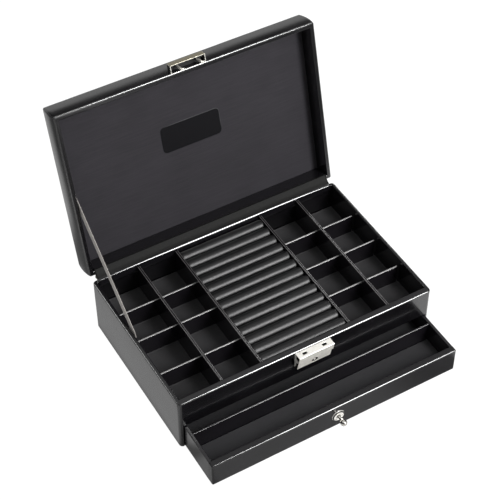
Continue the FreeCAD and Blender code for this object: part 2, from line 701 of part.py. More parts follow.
def wedge(name, x_low, x_high, z_low, z_high, reach_low, reach_high, face):
    """A block that stands off the front face, further at the top than at the foot."""
    block = doc.addObject("Part::Wedge", name)
    values = (("Xmin", x_low), ("Xmax", x_high), ("X2min", x_low), ("X2max", x_high), ("Ymin", "0"),
              ("Ymax", "(%s) - (%s)" % (z_high, z_low)), ("Zmin", "0"), ("Z2min", "0"),
              ("Zmax", reach_low), ("Z2max", reach_high))
    for field, text in values:
        block.setExpression(field, bound(text))
    block.Placement.Rotation = FreeCAD.Rotation(X_AXIS, 90)
    block.setExpression("Placement.Base.y", bound(face))
    block.setExpression("Placement.Base.z", bound(z_low))
    return block


LOCK_LOW = "base_height - lock_drop"
OUT_TOP = "lock_reach - frame_sheet"
OUT_LOW = "lock_foot - frame_sheet"
lock_block = wedge("lock_block", LOCK_X[0], LOCK_X[1], LOCK_LOW, RIM, OUT_LOW, OUT_TOP, FACE)
lock_soft = rounded("lock_soft", lock_block,
                    lambda p, w: abs(w.x) > 0.9 and p.y < -size("case_depth") / 2 - 2, "lock_round")
# The left end is open; the right end has a wall in its upper part only
lock_room = wedge("lock_room", LOCK_X[0] + " - 1", LOCK_X[1] + " - lock_sheet",
                  LOCK_LOW + " + lock_sheet", RIM + " - lock_sheet",
                  OUT_LOW + " - lock_sheet", OUT_TOP + " - lock_sheet", FACE)
SLOT_X = ("hook_middle - hook_space / 2 + slot_shift", "hook_middle + hook_space / 2 + slot_shift")
HOOK_Y = FRONT + " - hook_out"
lock_slots = [
    box("lock_slot_%d" % side, around(SLOT_X[side], "slot_wide"), around(HOOK_Y, "slot_deep"),
        (RIM + " - 3", RIM + " + 3"))
    for side in (0, 1)
]
# The key axis stands square to the sloping front plate
fall = size("lock_reach") - size("lock_foot")
lean = FreeCAD.Vector(0, fall, -size("lock_drop")).normalize()
outward = FreeCAD.Vector(0, lean.z, -lean.y)
key_x = size("lock_middle") + size("keyhole_shift")
key_point = FreeCAD.Vector(key_x, -size("case_depth") / 2 - size("lock_reach"), size("base_height"))
key_point = key_point + lean * size("keyhole_down")
to_key = FreeCAD.Rotation(FreeCAD.Vector(0, 0, 1), outward)


def key_rod(name, radius, start, end):
    """A round bar on the key axis; distances run outward from the front plate."""
    rod = doc.addObject("Part::Cylinder", name)
    rod.setExpression("Radius", bound(radius))
    rod.Height = end - start
    rod.Placement = FreeCAD.Placement(key_point + outward * start, to_key)
    return rod


lock_notch = box("lock_notch", (LOCK_X[1] + " - end_notch", LOCK_X[1] + " + 1"),
                 (FRONT + " - lock_reach - 1", FRONT), (LOCK_LOW + " - 1", "base_height - end_wall"))
keyhole = key_rod("keyhole", "keyhole_diameter / 2", -2.0, 2.0)
piece(cut("lock_shell", lock_soft, [lock_room, lock_notch, keyhole] + lock_slots), "lock_case")

# The post starts inside the back plate
plate_y = -size("case_depth") / 2 - size("frame_sheet") / 2
post_back = (plate_y - key_point.y) / outward.y
frame_plate = box("frame_plate", LOCK_X, (FACE, FRONT), (LOCK_LOW + " + 0.4", RIM + " - 0.4"))
frame_ear = box("frame_ear", (LOCK_X[0] + " - ear_out", LOCK_X[0] + " + 2 * frame_sheet"),
                (FRONT + " - ear_reach", FRONT + " - frame_sheet / 2"),
                ("base_height - ear_high - frame_sheet", "base_height - ear_high"))
frame_ledge = box("frame_ledge", around("lock_middle", "2 * bolt_half"), (FRONT + " - ledge_reach", FRONT),
                  (BOLT_LOW + " - bolt_seat - frame_sheet", BOLT_LOW + " - bolt_seat"))
frame_post = key_rod("frame_post", "post_diameter / 2", post_back, -0.2)
piece(fuse("frame_whole", [frame_plate, frame_ear, frame_ledge, frame_post]), "lock_frame")

cam_front = -size("lock_sheet") - size("cam_back")
cam_ring = key_rod("cam_ring", "cam_diameter / 2", cam_front - size("cam_thick"), cam_front)
cam_bore = key_rod("cam_bore", "post_diameter / 2 + post_play", cam_front - 4, cam_front + 1)
cam_finger = doc.addObject("Part::Box", "cam_finger")
cam_finger.setExpression("Length", bound("cam_arm"))
cam_finger.setExpression("Width", bound("cam_thick"))
cam_finger.setExpression("Height", bound("cam_reach"))
lean_angle = FreeCAD.Rotation(FreeCAD.Vector(0, 0, 1), lean * -1)
finger_foot = key_point + outward * cam_front + FreeCAD.Vector(-size("cam_arm") / 2, 0, 0)
cam_finger.Placement = FreeCAD.Placement(finger_foot, lean_angle)
piece(cut("cam_whole", fuse("cam_solid", [cam_ring, cam_finger]), [cam_bore]), "lock_cam")

BOLT_Y = (FRONT + " - bolt_front", FRONT + " - bolt_rear")
bolt_bar = box("bolt_bar", around("lock_middle", "2 * bolt_half"), BOLT_Y,
               (BOLT_LOW, BOLT_LOW + " + bolt_thick"))
windows = [
    box("bolt_window_%d" % side,
        ("hook_middle %s hook_space / 2 - hook_stem / 2 - 2 * bolt_play" % sign,
         "hook_middle %s hook_space / 2 + hook_stem / 2 + hook_barb + 2 * bolt_play" % sign),
        around(HOOK_Y, "hook_thick + 4 * bolt_play"), (BOLT_LOW + " - 1", BOLT_LOW + " + bolt_thick + 1"))
    for side, sign in ((0, "-"), (1, "+"))
]
FORK = "lock_middle + keyhole_shift"
fork_legs = [
    box("fork_leg_%d" % side, pair, (FRONT + " - fork_front", FRONT + " - fork_rear"),
        (BOLT_LOW + " - fork_drop", BOLT_LOW))
    for side, pair in (
        (0, (FORK + " - cam_arm / 2 - fork_play - fork_leg", FORK + " - cam_arm / 2 - fork_play")),
        (1, (FORK + " + cam_arm / 2 + fork_play", FORK + " + cam_arm / 2 + fork_play + fork_leg")),
    )
]
piece(fuse("bolt_whole", [cut("bolt_cut", bolt_bar, windows)] + fork_legs), "lock_bolt")

# Catch on the lid: a box open to the rim with two hooks that enter the lock
CATCH_LOW = LID_RIM + " + catch_gap"
CATCH_HIGH = LID_RIM + " + catch_gap + catch_height"
CATCH_X = around("catch_middle", "catch_length")
catch_block = box("catch_block", CATCH_X, (FRONT + " - lock_reach", FRONT), (CATCH_LOW, CATCH_HIGH))
catch_soft = rounded("catch_soft", catch_block,
                     lambda p, w: p.y < -size("case_depth") / 2 - 2 and p.z > size("base_height") + 1,
                     "lock_round")
catch_room = box("catch_room", around("catch_middle", "catch_length - 2 * lock_sheet"),
                 (FRONT + " - lock_reach + lock_sheet", FRONT + " - lock_sheet"),
                 (RIM, CATCH_HIGH + " - lock_sheet"))
piece(cut("catch_shell", catch_soft, [catch_room]), "catch_bracket", lid_open)

hook_parts = [
    box("hook_plate", around("catch_middle", "catch_length - 2 * lock_sheet - 1"),
        (FRONT + " - lock_reach + lock_sheet + 0.2", FRONT + " - lock_sheet - 0.2"),
        (CATCH_HIGH + " - 2 * lock_sheet", CATCH_HIGH + " - lock_sheet"))
]
for side, sign in ((0, "-"), (1, "+")):
    stem_middle = "hook_middle %s hook_space / 2" % sign
    hook_parts.append(box("hook_stem_%d" % side, around(stem_middle, "hook_stem"),
                          around(HOOK_Y, "hook_thick"),
                          (RIM + " - hook_drop", CATCH_HIGH + " - lock_sheet")))
    hook_parts.append(box("hook_barb_%d" % side,
                          (stem_middle, stem_middle + " + hook_stem / 2 + hook_barb"),
                          around(HOOK_Y, "hook_thick"),
                          (RIM + " - hook_drop", RIM + " - hook_drop + barb_high")))
hook_whole = fuse("hook_whole", hook_parts)
piece(hook_whole, "catch_hooks", lid_open)

doc.recompute()
faults = []
for item in doc.Objects:
    if "Invalid" in item.State or "Error" in item.State:
        faults.append("%s: %s" % (item.Name, item.State))
for item in pieces:
    if item.Shape.isNull() or not item.Shape.isValid():
        faults.append("%s: bad shape" % item.Label)
    elif len(item.Shape.Solids) != 1:
        faults.append("%s: %d solids" % (item.Label, len(item.Shape.Solids)))
if faults:
    raise RuntimeError("; ".join(faults))
for item in pieces:
    item.Shape.exportStep("parts/%s.step" % item.Label)
print("%d pieces written" % len(pieces))
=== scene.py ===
"""A leather ring case: an open lid, a tray with pockets and ring rolls, and a drawer pulled part way out.

The pieces are modelled in millimetres, shut, and then taken to their places and to metres. The finishes work in
metres, from the place on the finished piece.
"""

import json
import math

import bmesh
import bpy
from mathutils import Matrix, Vector, noise


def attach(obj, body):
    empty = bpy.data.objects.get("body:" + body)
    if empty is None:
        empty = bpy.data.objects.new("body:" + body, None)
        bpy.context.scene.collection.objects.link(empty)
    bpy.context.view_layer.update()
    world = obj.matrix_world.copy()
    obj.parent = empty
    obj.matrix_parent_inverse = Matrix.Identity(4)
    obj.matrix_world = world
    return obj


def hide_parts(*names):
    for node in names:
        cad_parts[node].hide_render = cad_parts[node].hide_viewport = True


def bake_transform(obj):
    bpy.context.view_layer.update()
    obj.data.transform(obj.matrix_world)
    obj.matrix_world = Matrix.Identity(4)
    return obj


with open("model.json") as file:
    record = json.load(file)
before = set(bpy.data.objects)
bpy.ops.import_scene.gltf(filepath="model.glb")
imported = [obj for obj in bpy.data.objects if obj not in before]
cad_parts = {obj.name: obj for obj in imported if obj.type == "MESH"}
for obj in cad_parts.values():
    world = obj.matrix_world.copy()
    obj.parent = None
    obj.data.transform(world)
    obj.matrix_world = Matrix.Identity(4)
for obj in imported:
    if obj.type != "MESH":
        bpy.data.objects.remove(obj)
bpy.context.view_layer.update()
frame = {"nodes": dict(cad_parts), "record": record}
scene = bpy.context.scene
scene.view_settings.view_transform = "Standard"

MM = 0.001
X, Y, Z = Vector((1, 0, 0)), Vector((0, 1, 0)), Vector((0, 0, 1))

# Sizes of the case, in millimetres
HALF_X, HALF_Y = 145.0, 92.0
RIM = 66.0
LID_RIM = 66.3
TRAY_FRONT, TRAY_BACK, TRAY_SIDE = -84.9, 86.9, 140.9
TRAY_FLOOR = 34.4
LONG_TOP, CROSS_TOP = 65.7, 58.0
LONG_AT = (-94.3, -50.3, 50.3, 96.3)
ROWS_LEFT, ROWS_RIGHT = (-43.15, 4.3, 44.05), (-40.45, 2.4, 44.35)
LONG_CARD, CARD = 2.8, 2.0
LAP = (TRAY_FLOOR + CROSS_TOP) / 2
HINGE = Vector((0, 95, 66.15))
OPENED = math.radians(104.5)
LID_OPEN = Matrix.Translation(HINGE) @ Matrix.Rotation(-OPENED, 4, "X") @ Matrix.Translation(-HINGE)
DRAWER_OUT = Matrix.Translation((0, -54.8, 0))
KNOB_AT = Vector((0, -92.0, 17.5))
LABEL_X, LABEL_Y, LABEL_HALF_X, LABEL_HALF_Y, LABEL_CORNER = 0.5, -14.0, 34.0, 15.0, 5.0
SHEET_THICK = 0.5


# ---------------------------------------------------------------- finishes
def both_ways(operation):
    """The two methods for a sum, with the socket first and with it second."""
    return (lambda self, other: self.finish.maths(operation, self, other),
            lambda self, other: self.finish.maths(operation, other, self))


class Wire:
    """One socket of a finish. Sums on it add Math nodes."""

    def __init__(self, finish, socket):
        self.finish = finish
        self.socket = socket

    __add__, __radd__ = both_ways("ADD")
    __sub__, __rsub__ = both_ways("SUBTRACT")
    __mul__, __rmul__ = both_ways("MULTIPLY")
    __pow__ = both_ways("POWER")[0]


class Finish:
    """A material, or the world, and the nodes that make it."""

    def __init__(self, name, owner=None):
        self.owner = owner or bpy.data.materials.new(name)
        self.owner.use_nodes = True
        self.tree = self.owner.node_tree
        self.tree.nodes.clear()

    def node(self, kind, settings=None, sockets=None, out=0):
        """Adds a node, sets it, then gives its sockets their values or links."""
        made = self.tree.nodes.new(kind)
        for word, value in (settings or {}).items():
            setattr(made, word, value)
        for word, value in (sockets or {}).items():
            if isinstance(value, Wire):
                self.tree.links.new(value.socket, made.inputs[word])
            else:
                made.inputs[word].default_value = value
        return Wire(self, made.outputs[out])

    def place(self, scale=(1, 1, 1), turn=(0, 0, 0), move=(0, 0, 0)):
        """The point on the object, in metres, turned and stretched for a pattern."""
        point = self.node("ShaderNodeTexCoord", out="Object")
        return self.node("ShaderNodeMapping", {"vector_type": "POINT"},
                         {"Vector": point, "Location": move, "Rotation": turn, "Scale": scale})

    def axes(self, point):
        """The three numbers of a point."""
        apart = self.node("ShaderNodeSeparateXYZ", None, {0: point}).socket.node
        return [Wire(self, socket) for socket in apart.outputs]

    def rays(self):
        """Whether a ray comes from the camera, a mirror or glass: three numbers, 0 or 1."""
        path = self.tree.nodes.new("ShaderNodeLightPath")
        return [Wire(self, path.outputs[word]) for word in ("Is Camera Ray", "Is Glossy Ray", "Is Transmission Ray")]

    def speckle(self, point, scale, detail, rough, stretch=0.0):
        return self.node("ShaderNodeTexNoise", {"noise_dimensions": "3D"},
                         {"Vector": point, "Scale": scale, "Detail": detail, "Roughness": rough,
                          "Distortion": stretch})

    def cells(self, point, scale, soft):
        return self.node("ShaderNodeTexVoronoi", {"feature": "SMOOTH_F1"},
                         {"Vector": point, "Scale": scale, "Smoothness": soft})

    def creases(self, point):
        """Fine creases of leather."""
        return self.speckle(point, 420, 5, 0.62, 0.4)

    def grain(self, point):
        """The fine creases of leather, and their height together with the pores."""
        creases = self.creases(point)
        return creases, self.cells(point, 1500, 0.35) * 0.6 + creases * 0.7

    def marks(self, point):
        """Fine rubbing marks on metal."""
        return self.speckle(point, 900, 3, 0.6)

    def spots(self, point):
        """Broader mottling on metal."""
        return self.speckle(point, 260, 3, 0.6)

    def step(self, value, low, high, start=0.0, end=1.0):
        """Goes smoothly from start to end while the value goes from low to high."""
        return self.node("ShaderNodeMapRange", {"interpolation_type": "SMOOTHSTEP"},
                         {"Value": value, "From Min": low, "From Max": high, "To Min": start, "To Max": end})

    def maths(self, operation, *values):
        return self.node("ShaderNodeMath", {"operation": operation}, dict(enumerate(values)))

    def size_of(self, value):
        return self.maths("ABSOLUTE", value)

    def largest(self, *values):
        most = values[0]
        for value in values[1:]:
            most = self.maths("MAXIMUM", most, value)
        return most

    def wave(self, value):
        return self.maths("SINE", value)

    def between(self, share, first, second):
        """Mixes two colours: the first where the share is 0, the second where it is 1."""
        return self.node("ShaderNodeMix", {"data_type": "RGBA"}, {0: share, 6: rgba(first), 7: rgba(second)}, out=2)

    def bumps(self, height, strength, distance):
        return self.node("ShaderNodeBump", None, {"Height": height, "Strength": strength, "Distance": distance})

    def surface(self, **sockets):
        """The Principled shader on the output. Underscores stand for spaces."""
        named = {word.replace("_", " "): value for word, value in sockets.items()}
        if "Specular" in named:
            named["Specular IOR Level"] = named.pop("Specular")
        self.show(self.node("ShaderNodeBsdfPrincipled", None, named))
        return self.owner

    def show(self, shader, output="ShaderNodeOutputMaterial"):
        end = self.tree.nodes.new(output)
        self.tree.links.new(shader.socket, end.inputs["Surface"])


def rgba(colour):
    return colour if isinstance(colour, Wire) else (*colour[:3], 1.0)


def shades(colour, *shares):
    """Darker or lighter shades of a colour."""
    return [[part * share for part in colour] for share in shares]


BLACK = (0.0045, 0.0042, 0.0050)
DIVIDER_BLACK = (0.006, 0.0052, 0.0068)
# Painted shade for metal in hollows and behind plates
PAINTED_SHADE_COLOUR = (0.006, 0.006, 0.006)
LID_TURN = (OPENED, 0, 0)
LID_MOVE = (HINGE - Matrix.Rotation(OPENED, 3, "X") @ HINGE) * MM


def rim_wear_and_highlight(finish, point, half_x, half_y, low, high):
    """How near a point is to the outer edges of a box's rim, from 0 to 1; there the leather is painted paler, partly
    for rubbing and partly as a painted highlight line.
    """
    x, y, z = finish.axes(point)
    outer = finish.largest(finish.size_of(x) - half_x, finish.size_of(y) - half_y)
    return finish.step(outer, -0.0014, -0.0006) * finish.step(z, low, high)


def leather(name, colour=BLACK, worn=0.0, gloss=0.15, edges=None, turn=(0, 0, 0), move=(0, 0, 0), bump=0.2,
            coat=0.22, polish=0.85):
    """Smooth black leather with a fine grain, a few broad clouds, and polished edges painted paler, partly for
    rubbing and partly as a painted highlight line.
    """
    f = Finish(name)
    point = f.place()
    creases, height = f.grain(point)
    clouds = f.speckle(point, 22, 3, 0.5)
    tone = f.between(f.step(clouds, 0.3, 0.75), *shades(colour, 0.8, 1.3))
    rough = gloss + 0.05 * f.step(clouds, 0.25, 0.8) + 0.05 * creases
    if edges is not None:
        on_edge = rim_wear_and_highlight(f, f.place(turn=turn, move=move), *edges)
        wear_and_highlight_here = on_edge * worn
        # Paler rim edge: partly rubbing, partly a painted highlight line.
        tone = f.between(wear_and_highlight_here, tone, (0.05, 0.05, 0.05))
        rough = rough - 0.05 * wear_and_highlight_here
        coat = coat + (polish - coat) * on_edge
    return f.surface(Base_Color=tone, Roughness=rough, Specular=0.5, Coat_Weight=coat, Coat_Roughness=0.08,
                     Coat_IOR=2.0, Normal=f.bumps(height, bump, 0.00012))


def cloth(name, colour, thread=0.00055, turn=(0, 0, 0), sheen=0.15, rough=0.85, clouds=0.18, slub=(1, 7, 7),
          streaks=0.11):
    """Close-woven cloth: warp and weft, a little fuzz and a little unevenness of dye."""
    f = Finish(name)
    point = f.place(turn=turn)
    x, y, z = f.axes(point)
    turns = 2 * math.pi / thread
    weave = f.wave(x * turns) * f.wave(y * turns)
    slubs = f.speckle(f.place(scale=slub, turn=turn), 90, 3, 0.6)
    fuzz = f.speckle(point, 1800, 2, 0.6)
    patch = f.speckle(point, 28, 3, 0.55)
    shade = f.step(patch, 0.3, 0.7) * clouds + f.step(slubs, 0.35, 0.7) * streaks + fuzz * 0.25
    tone = f.between(shade, *shades(colour, 0.82, 1.55))
    return f.surface(Base_Color=tone, Roughness=rough, Specular=0.3, Sheen_Weight=sheen, Sheen_Roughness=0.45,
                     Normal=f.bumps(weave * 0.5 + fuzz * 0.6, 0.35, 0.00015))


def metal(name, colour, rough, mottle=0.10, strength=0.15, metallic=1.0):
    """Plated sheet metal with faint rubbing marks and mottling."""
    f = Finish(name)
    point = f.place()
    marks, spots = f.marks(point), f.spots(point)
    tone = f.between(f.step(spots, 0.35, 0.7), *shades(colour, 1 - mottle, 1.0))
    return f.surface(Base_Color=tone, Metallic=metallic, Roughness=rough + 0.10 * spots + 0.06 * marks,
                     Normal=f.bumps(marks + spots * 0.8, strength, 0.00006))


def board(name, colour):
    """Grey-brown bookbinder's board, with short fibres."""
    f = Finish(name)
    fibres = f.speckle(f.place(scale=(1, 1, 6)), 700, 4, 0.7)
    tone = f.between(fibres, *shades(colour, 0.75, 1.15))
    return f.surface(Base_Color=tone, Roughness=0.9, Normal=f.bumps(fibres, 0.3, 0.0002))


base_skin = leather("base leather", worn=0.75, edges=(0.145, 0.092, 0.0642, 0.0650))
lid_skin = leather("lid leather", worn=0.75, edges=(0.145, 0.092, 0.0685, 0.0675), turn=LID_TURN, move=LID_MOVE)
drawer_skin = leather("drawer leather", coat=0.05, worn=0.3, polish=0.45, edges=(0.20, 0.1468, 0.0290, 0.0302))
card_skin = leather("divider leather", colour=DIVIDER_BLACK, gloss=0.16)


def strip_leather():
    """Glossy at the fold, dull and a little olive where it bends with the lid."""
    f = Finish("hinge strip leather")
    point = f.place()
    dull = f.node("ShaderNodeAttribute", {"attribute_type": "GEOMETRY", "attribute_name": "matt"}, out=2)
    creases = f.creases(point)
    flecks = f.speckle(point, 700, 3, 0.7)
    worn = f.between(f.step(flecks, 0.4, 0.75), (0.0036, 0.0036, 0.0033), (0.0088, 0.0086, 0.0076))
    tone = f.between(dull, (0.006, 0.0056, 0.0068), worn)
    return f.surface(Base_Color=tone, Roughness=0.12 + 0.05 * creases + 0.60 * dull, Specular=0.35,
                     Coat_Weight=0.8 - 0.8 * dull, Coat_Roughness=0.10, Coat_IOR=2.0,
                     Normal=f.bumps(creases * 0.7 + flecks * dull, 0.35, 0.00015))


def divider_leather(name, painted_highlight_part, least, pale, dulled):
    """Divider leather with a painted highlight, paler and duller, on a part of it."""
    f = Finish(name)
    point = f.place()
    creases, height = f.grain(point)
    part = painted_highlight_part(f, *f.axes(point))
    # Painted highlight: the part is paler, broken up by the creases.
    tone = f.between(part * (least + (1 - least) * creases), DIVIDER_BLACK, pale)
    return f.surface(Base_Color=tone, Roughness=0.16 + 0.06 * creases + dulled * part, Specular=0.5,
                     Coat_Weight=0.6, Coat_Roughness=0.10, Normal=f.bumps(height, 0.2, 0.00012))


def long_edges(f, x, y, z):
    """The two upper edges of every long divider, and not the face between them: where a highlight is painted."""
    outer_shift = (LONG_AT[0] + LONG_AT[3]) / 2 * MM
    outer = f.size_of(f.size_of(x - outer_shift) - LONG_AT[3] * MM + outer_shift)
    inner = f.size_of(f.size_of(x) - LONG_AT[2] * MM)
    return f.step(f.maths("MINIMUM", outer, inner), 0.0005, 0.0009) * f.step(z, 0.0650, 0.0655)


def cross_tops(f, x, y, z):
    """The folded tops of the cross dividers, where a highlight is painted."""
    return f.step(z, (CROSS_TOP - 0.45) * MM, (CROSS_TOP - 0.15) * MM)


strip_skin = strip_leather()
# The pale colours are painted highlights along the divider tops.
long_skin = divider_leather("long divider leather", long_edges, 0.6, (0.13, 0.125, 0.125), 0.15)
cross_skin = divider_leather("cross divider leather", cross_tops, 0.75, (0.33, 0.325, 0.32), 0.2)
roll_skin = leather("ring roll leather", colour=(0.007, 0.0068, 0.0073), gloss=0.36, bump=0.35, coat=0.0)
pocket_cloth = cloth("pocket cloth", (0.042, 0.041, 0.043))
pad_cloth = cloth("drawer pad cloth", (0.032, 0.0315, 0.034))
lid_cloth = cloth("lid lining cloth", (0.0190, 0.0174, 0.0212), turn=LID_TURN, slub=(0.35, 9, 9), streaks=0.35)


def label_leather():
    """Dull black leather with a painted highlight along the cut edge that faces the light. Its place is in the shut
    lid.
    """
    f = Finish("label patch")
    x, y, z = f.axes(f.place(turn=LID_TURN, move=LID_MOVE))
    past_x = f.largest(f.size_of(x - LABEL_X * MM) - (LABEL_HALF_X - LABEL_CORNER) * MM, 0.0)
    past_y = f.largest(f.size_of(y - LABEL_Y * MM) - (LABEL_HALF_Y - LABEL_CORNER) * MM, 0.0)
    reach = (past_x * past_x + past_y * past_y) ** 0.5
    # Painted highlight on the side of the cut edge that faces the light.
    lit = f.step(x * 0.35 - y, 0.017, 0.024)
    edge = f.step(reach, 0.00435, 0.00475) * lit
    creases = f.creases(f.place())
    tone = f.between(edge * (0.7 + 0.3 * creases), (0.0042, 0.0041, 0.0052), (0.075, 0.075, 0.078))
    return f.surface(Base_Color=tone, Roughness=0.46 + 0.08 * creases, Specular=0.12,
                     Normal=f.bumps(creases, 0.25, 0.00012))


label_face = label_leather()
ribbon = cloth("stay ribbon", (0.33, 0.31, 0.29), thread=0.0008, sheen=0.2, rough=0.6, clouds=0.1)
nickel = metal("nickel plate", (0.95, 0.93, 0.87), rough=0.30, metallic=0.4, mottle=0.14)
nickel_bright = metal("polished nickel", (0.93, 0.90, 0.84), rough=0.07, mottle=0.03, strength=0.05)


def catch_metal(name, inside):
    """Nickel plate with painted shade inside its folds. The place is taken in the shut lid's frame."""
    f = Finish(name)
    x, y, z = f.axes(f.place(turn=LID_TURN, move=LID_MOVE))
    marks = f.marks(f.place())
    # Painted shade inside the folds
    painted_shade = inside(f, y, z)
    tone = f.between(painted_shade, shades((0.95, 0.93, 0.86), 0.92)[0], PAINTED_SHADE_COLOUR)
    shine = 0.6 * (1 - painted_shade)
    if inside is in_bracket:
        plate = f.step(y, -0.10130, -0.10145)
        shine = f.largest(shine, plate)
        tone = f.between(plate * f.step(z, 0.0735, 0.0728, 0.85, 1.0), tone, (0.60, 0.55, 0.41))
    return f.surface(Base_Color=tone, Metallic=shine, Roughness=0.32 + 0.08 * marks + 0.25 * painted_shade,
                     Normal=f.bumps(marks, 0.12, 0.00006))


def in_bracket(f, y, z):
    """Behind the bracket's outer plate and above its lower edge, where shade is painted."""
    return f.step(y, -0.10100, -0.10090) * f.step(z, 0.06665, 0.06685)


def on_plate(f, y, z):
    """The upper part of the hooks, where they sit on their plate and shade is painted."""
    return f.step(z, 0.0716, 0.0722)


bracket_metal = catch_metal("catch bracket nickel", in_bracket)
hook_metal = catch_metal("catch hook nickel", on_plate)

# The lock's sloping front: its top, how far out it starts there, and its slope; and where the key post stands
LOCK_TOP, LOCK_FRONT, LOCK_SLOPE = 0.066, -0.1016, 4.4 / 20.2
POST_X, POST_Z = 0.0028, 0.05066


def behind_front(y, z):
    """How far a point is behind the lock's sloping front."""
    return y - ((LOCK_TOP - z) * LOCK_SLOPE + LOCK_FRONT)


def lock_metal():
    """Nickel plate on the lock, with painted shade inside the case and where the case stands in the rail, and a
    painted highlight on its top.
    """
    f = Finish("lock nickel")
    point = f.place()
    x, y, z = f.axes(point)
    marks, spots = f.marks(point), f.spots(point)
    # Painted shade inside the case and in the rail.
    under_top = f.step(z, 0.0653, 0.0651)
    inside = f.step(behind_front(y, z), 0.0004, 0.0006) * under_top * f.step(x, 0.0223, 0.0221)
    in_rail = (f.step(y, -0.0936, -0.0933) * f.step(x, 0.0240, 0.0236) * f.step(x, -0.0154, -0.0150)
               * under_top)
    painted_shade = f.largest(inside, in_rail)
    top = f.step(z, 0.0652, 0.0658)
    tone = f.between(f.step(spots, 0.35, 0.7), (0.72, 0.695, 0.64), (0.84, 0.82, 0.765))
    # Painted highlight: the top is lighter, as it faces the lights.
    tone = f.between(top * f.step(spots, 0.30, 0.45), tone, (0.97, 0.95, 0.89))
    tone = f.between(painted_shade, tone, PAINTED_SHADE_COLOUR)
    return f.surface(Base_Color=tone, Metallic=0.4 * (1 - painted_shade), Roughness=0.30 + 0.10 * spots + 0.3 * painted_shade,
                     Normal=f.bumps(marks + spots * 0.8, 0.15, 0.00006))


def frame_metal():
    """Nickel plate, with painted shade behind the lock's front except on the key post and on the ear."""
    f = Finish("lock frame nickel")
    point = f.place()
    x, y, z = f.axes(point)
    marks = f.marks(point)
    along, up = x - POST_X, z - POST_Z
    away = (along * along + up * up) ** 0.5
    off_ear = f.step(x, -0.0154, -0.0150)
    # Painted shade in the keyhole behind the front.
    painted_shade = f.step(behind_front(y, z), 0.0011, 0.0014) * f.step(away, 0.00115, 0.00130) * off_ear
    tone = f.between(painted_shade, (0.95, 0.93, 0.87), PAINTED_SHADE_COLOUR)
    return f.surface(Base_Color=tone, Metallic=0.4 * (1 - painted_shade), Roughness=0.30 + 0.06 * marks + 0.3 * painted_shade,
                     Normal=f.bumps(marks, 0.12, 0.00006))


def rosette_metal():
    """Bright nickel, with a painted shadow ring in its rolled rim, and painted shade and reflection of the neck in
    its middle.
    """
    f = Finish("rosette nickel")
    point = f.place()
    x, y, z = f.axes(point)
    up = z - KNOB_AT.z * MM
    away = (x * x + up * up) ** 0.5
    # Painted shadow in the rolled rim, and painted shade of the neck in the middle.
    ring = f.step(away, 0.0052, 0.0057) * f.step(away, 0.0069, 0.0066)
    painted_shade = f.largest(ring, f.step(away, 0.0027, 0.0022))
    marks = f.marks(point)
    tone = f.between(painted_shade, (0.95, 0.93, 0.88), (0.010, 0.010, 0.009))
    return f.surface(Base_Color=tone, Metallic=0.45 * (1 - painted_shade), Roughness=0.16 + 0.06 * marks + 0.2 * painted_shade,
                     Normal=f.bumps(marks, 0.08, 0.00006))


lock_nickel = lock_metal()
frame_nickel = frame_metal()
rosette_nickel = rosette_metal()
steel = metal("zinc-plated steel", (0.55, 0.53, 0.47), rough=0.34)
# The cam is painted dark, as painted shade inside the keyhole.
painted_shade_steel = metal("cam steel painted dark as shade", (0.030, 0.029, 0.027), rough=0.42, metallic=0.2)
grey_board = board("grey board", (0.30, 0.26, 0.20))
foot_paper = cloth("base paper", (0.018, 0.018, 0.019), sheen=0.0)


# ---------------------------------------------------------------- pieces
def as_mesh(bm, name):
    mesh = bpy.data.meshes.new(name)
    bm.to_mesh(mesh)
    bm.free()
    return mesh


def added(name, data):
    """A new object in the scene."""
    thing = bpy.data.objects.new(name, data)
    scene.collection.objects.link(thing)
    return thing


def finished(bm, name, body, finish, replaces, place=None, sharp=35, even=True):
    """Turns a shape in millimetres into a piece on its body."""
    if place is not None:
        bmesh.ops.transform(bm, matrix=place, verts=bm.verts)
    bmesh.ops.scale(bm, vec=(MM, MM, MM), verts=bm.verts)
    bmesh.ops.recalc_face_normals(bm, faces=bm.faces)
    mesh = as_mesh(bm, name)
    mesh.shade_smooth()
    mesh.set_sharp_from_angle(angle=math.radians(sharp))
    mesh.materials.append(finish)
    thing = added(name, mesh)
    if even:
        thing.modifiers.new("even normals", "WEIGHTED_NORMAL").keep_sharp = True
    if body:
        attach(thing, body)
    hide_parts(*replaces)
    return thing


def block(low, high):
    """A block between two corners."""
    bm = bmesh.new()
    low, high = Vector(low), Vector(high)
    bmesh.ops.create_cube(bm, size=1)
    bmesh.ops.scale(bm, vec=high - low, verts=bm.verts)
    bmesh.ops.translate(bm, vec=(low + high) / 2, verts=bm.verts)
    return bm


def grid(half_x, half_y, centre=(0, 0, 0), across=1, along=1):
    """A flat sheet of faces."""
    bm = bmesh.new()
    bmesh.ops.create_grid(bm, x_segments=across, y_segments=along, size=1)
    bmesh.ops.scale(bm, vec=(half_x, half_y, 1), verts=bm.verts)
    bmesh.ops.translate(bm, vec=centre, verts=bm.verts)
    return bm


def soften(bm, radius, segments, chosen, held=True):
    """Rounds the chosen edges. Where one runs round a corner's short steps, held is False."""
    bm.normal_update()
    edges = [edge for edge in bm.edges if chosen(edge)]
    bmesh.ops.bevel(bm, geom=edges, offset=radius, offset_type="OFFSET", segments=segments, affect="EDGES",
                    profile=0.5, material=-1, clamp_overlap=held)


def middle_of(edge):
    return (edge.verts[0].co + edge.verts[1].co) / 2


def runs(edge, axis):
    return abs((edge.verts[1].co - edge.verts[0].co).normalized().dot(axis)) > 0.99


def corners_in(made):
    return [part for part in made["geom"] if isinstance(part, bmesh.types.BMVert)]


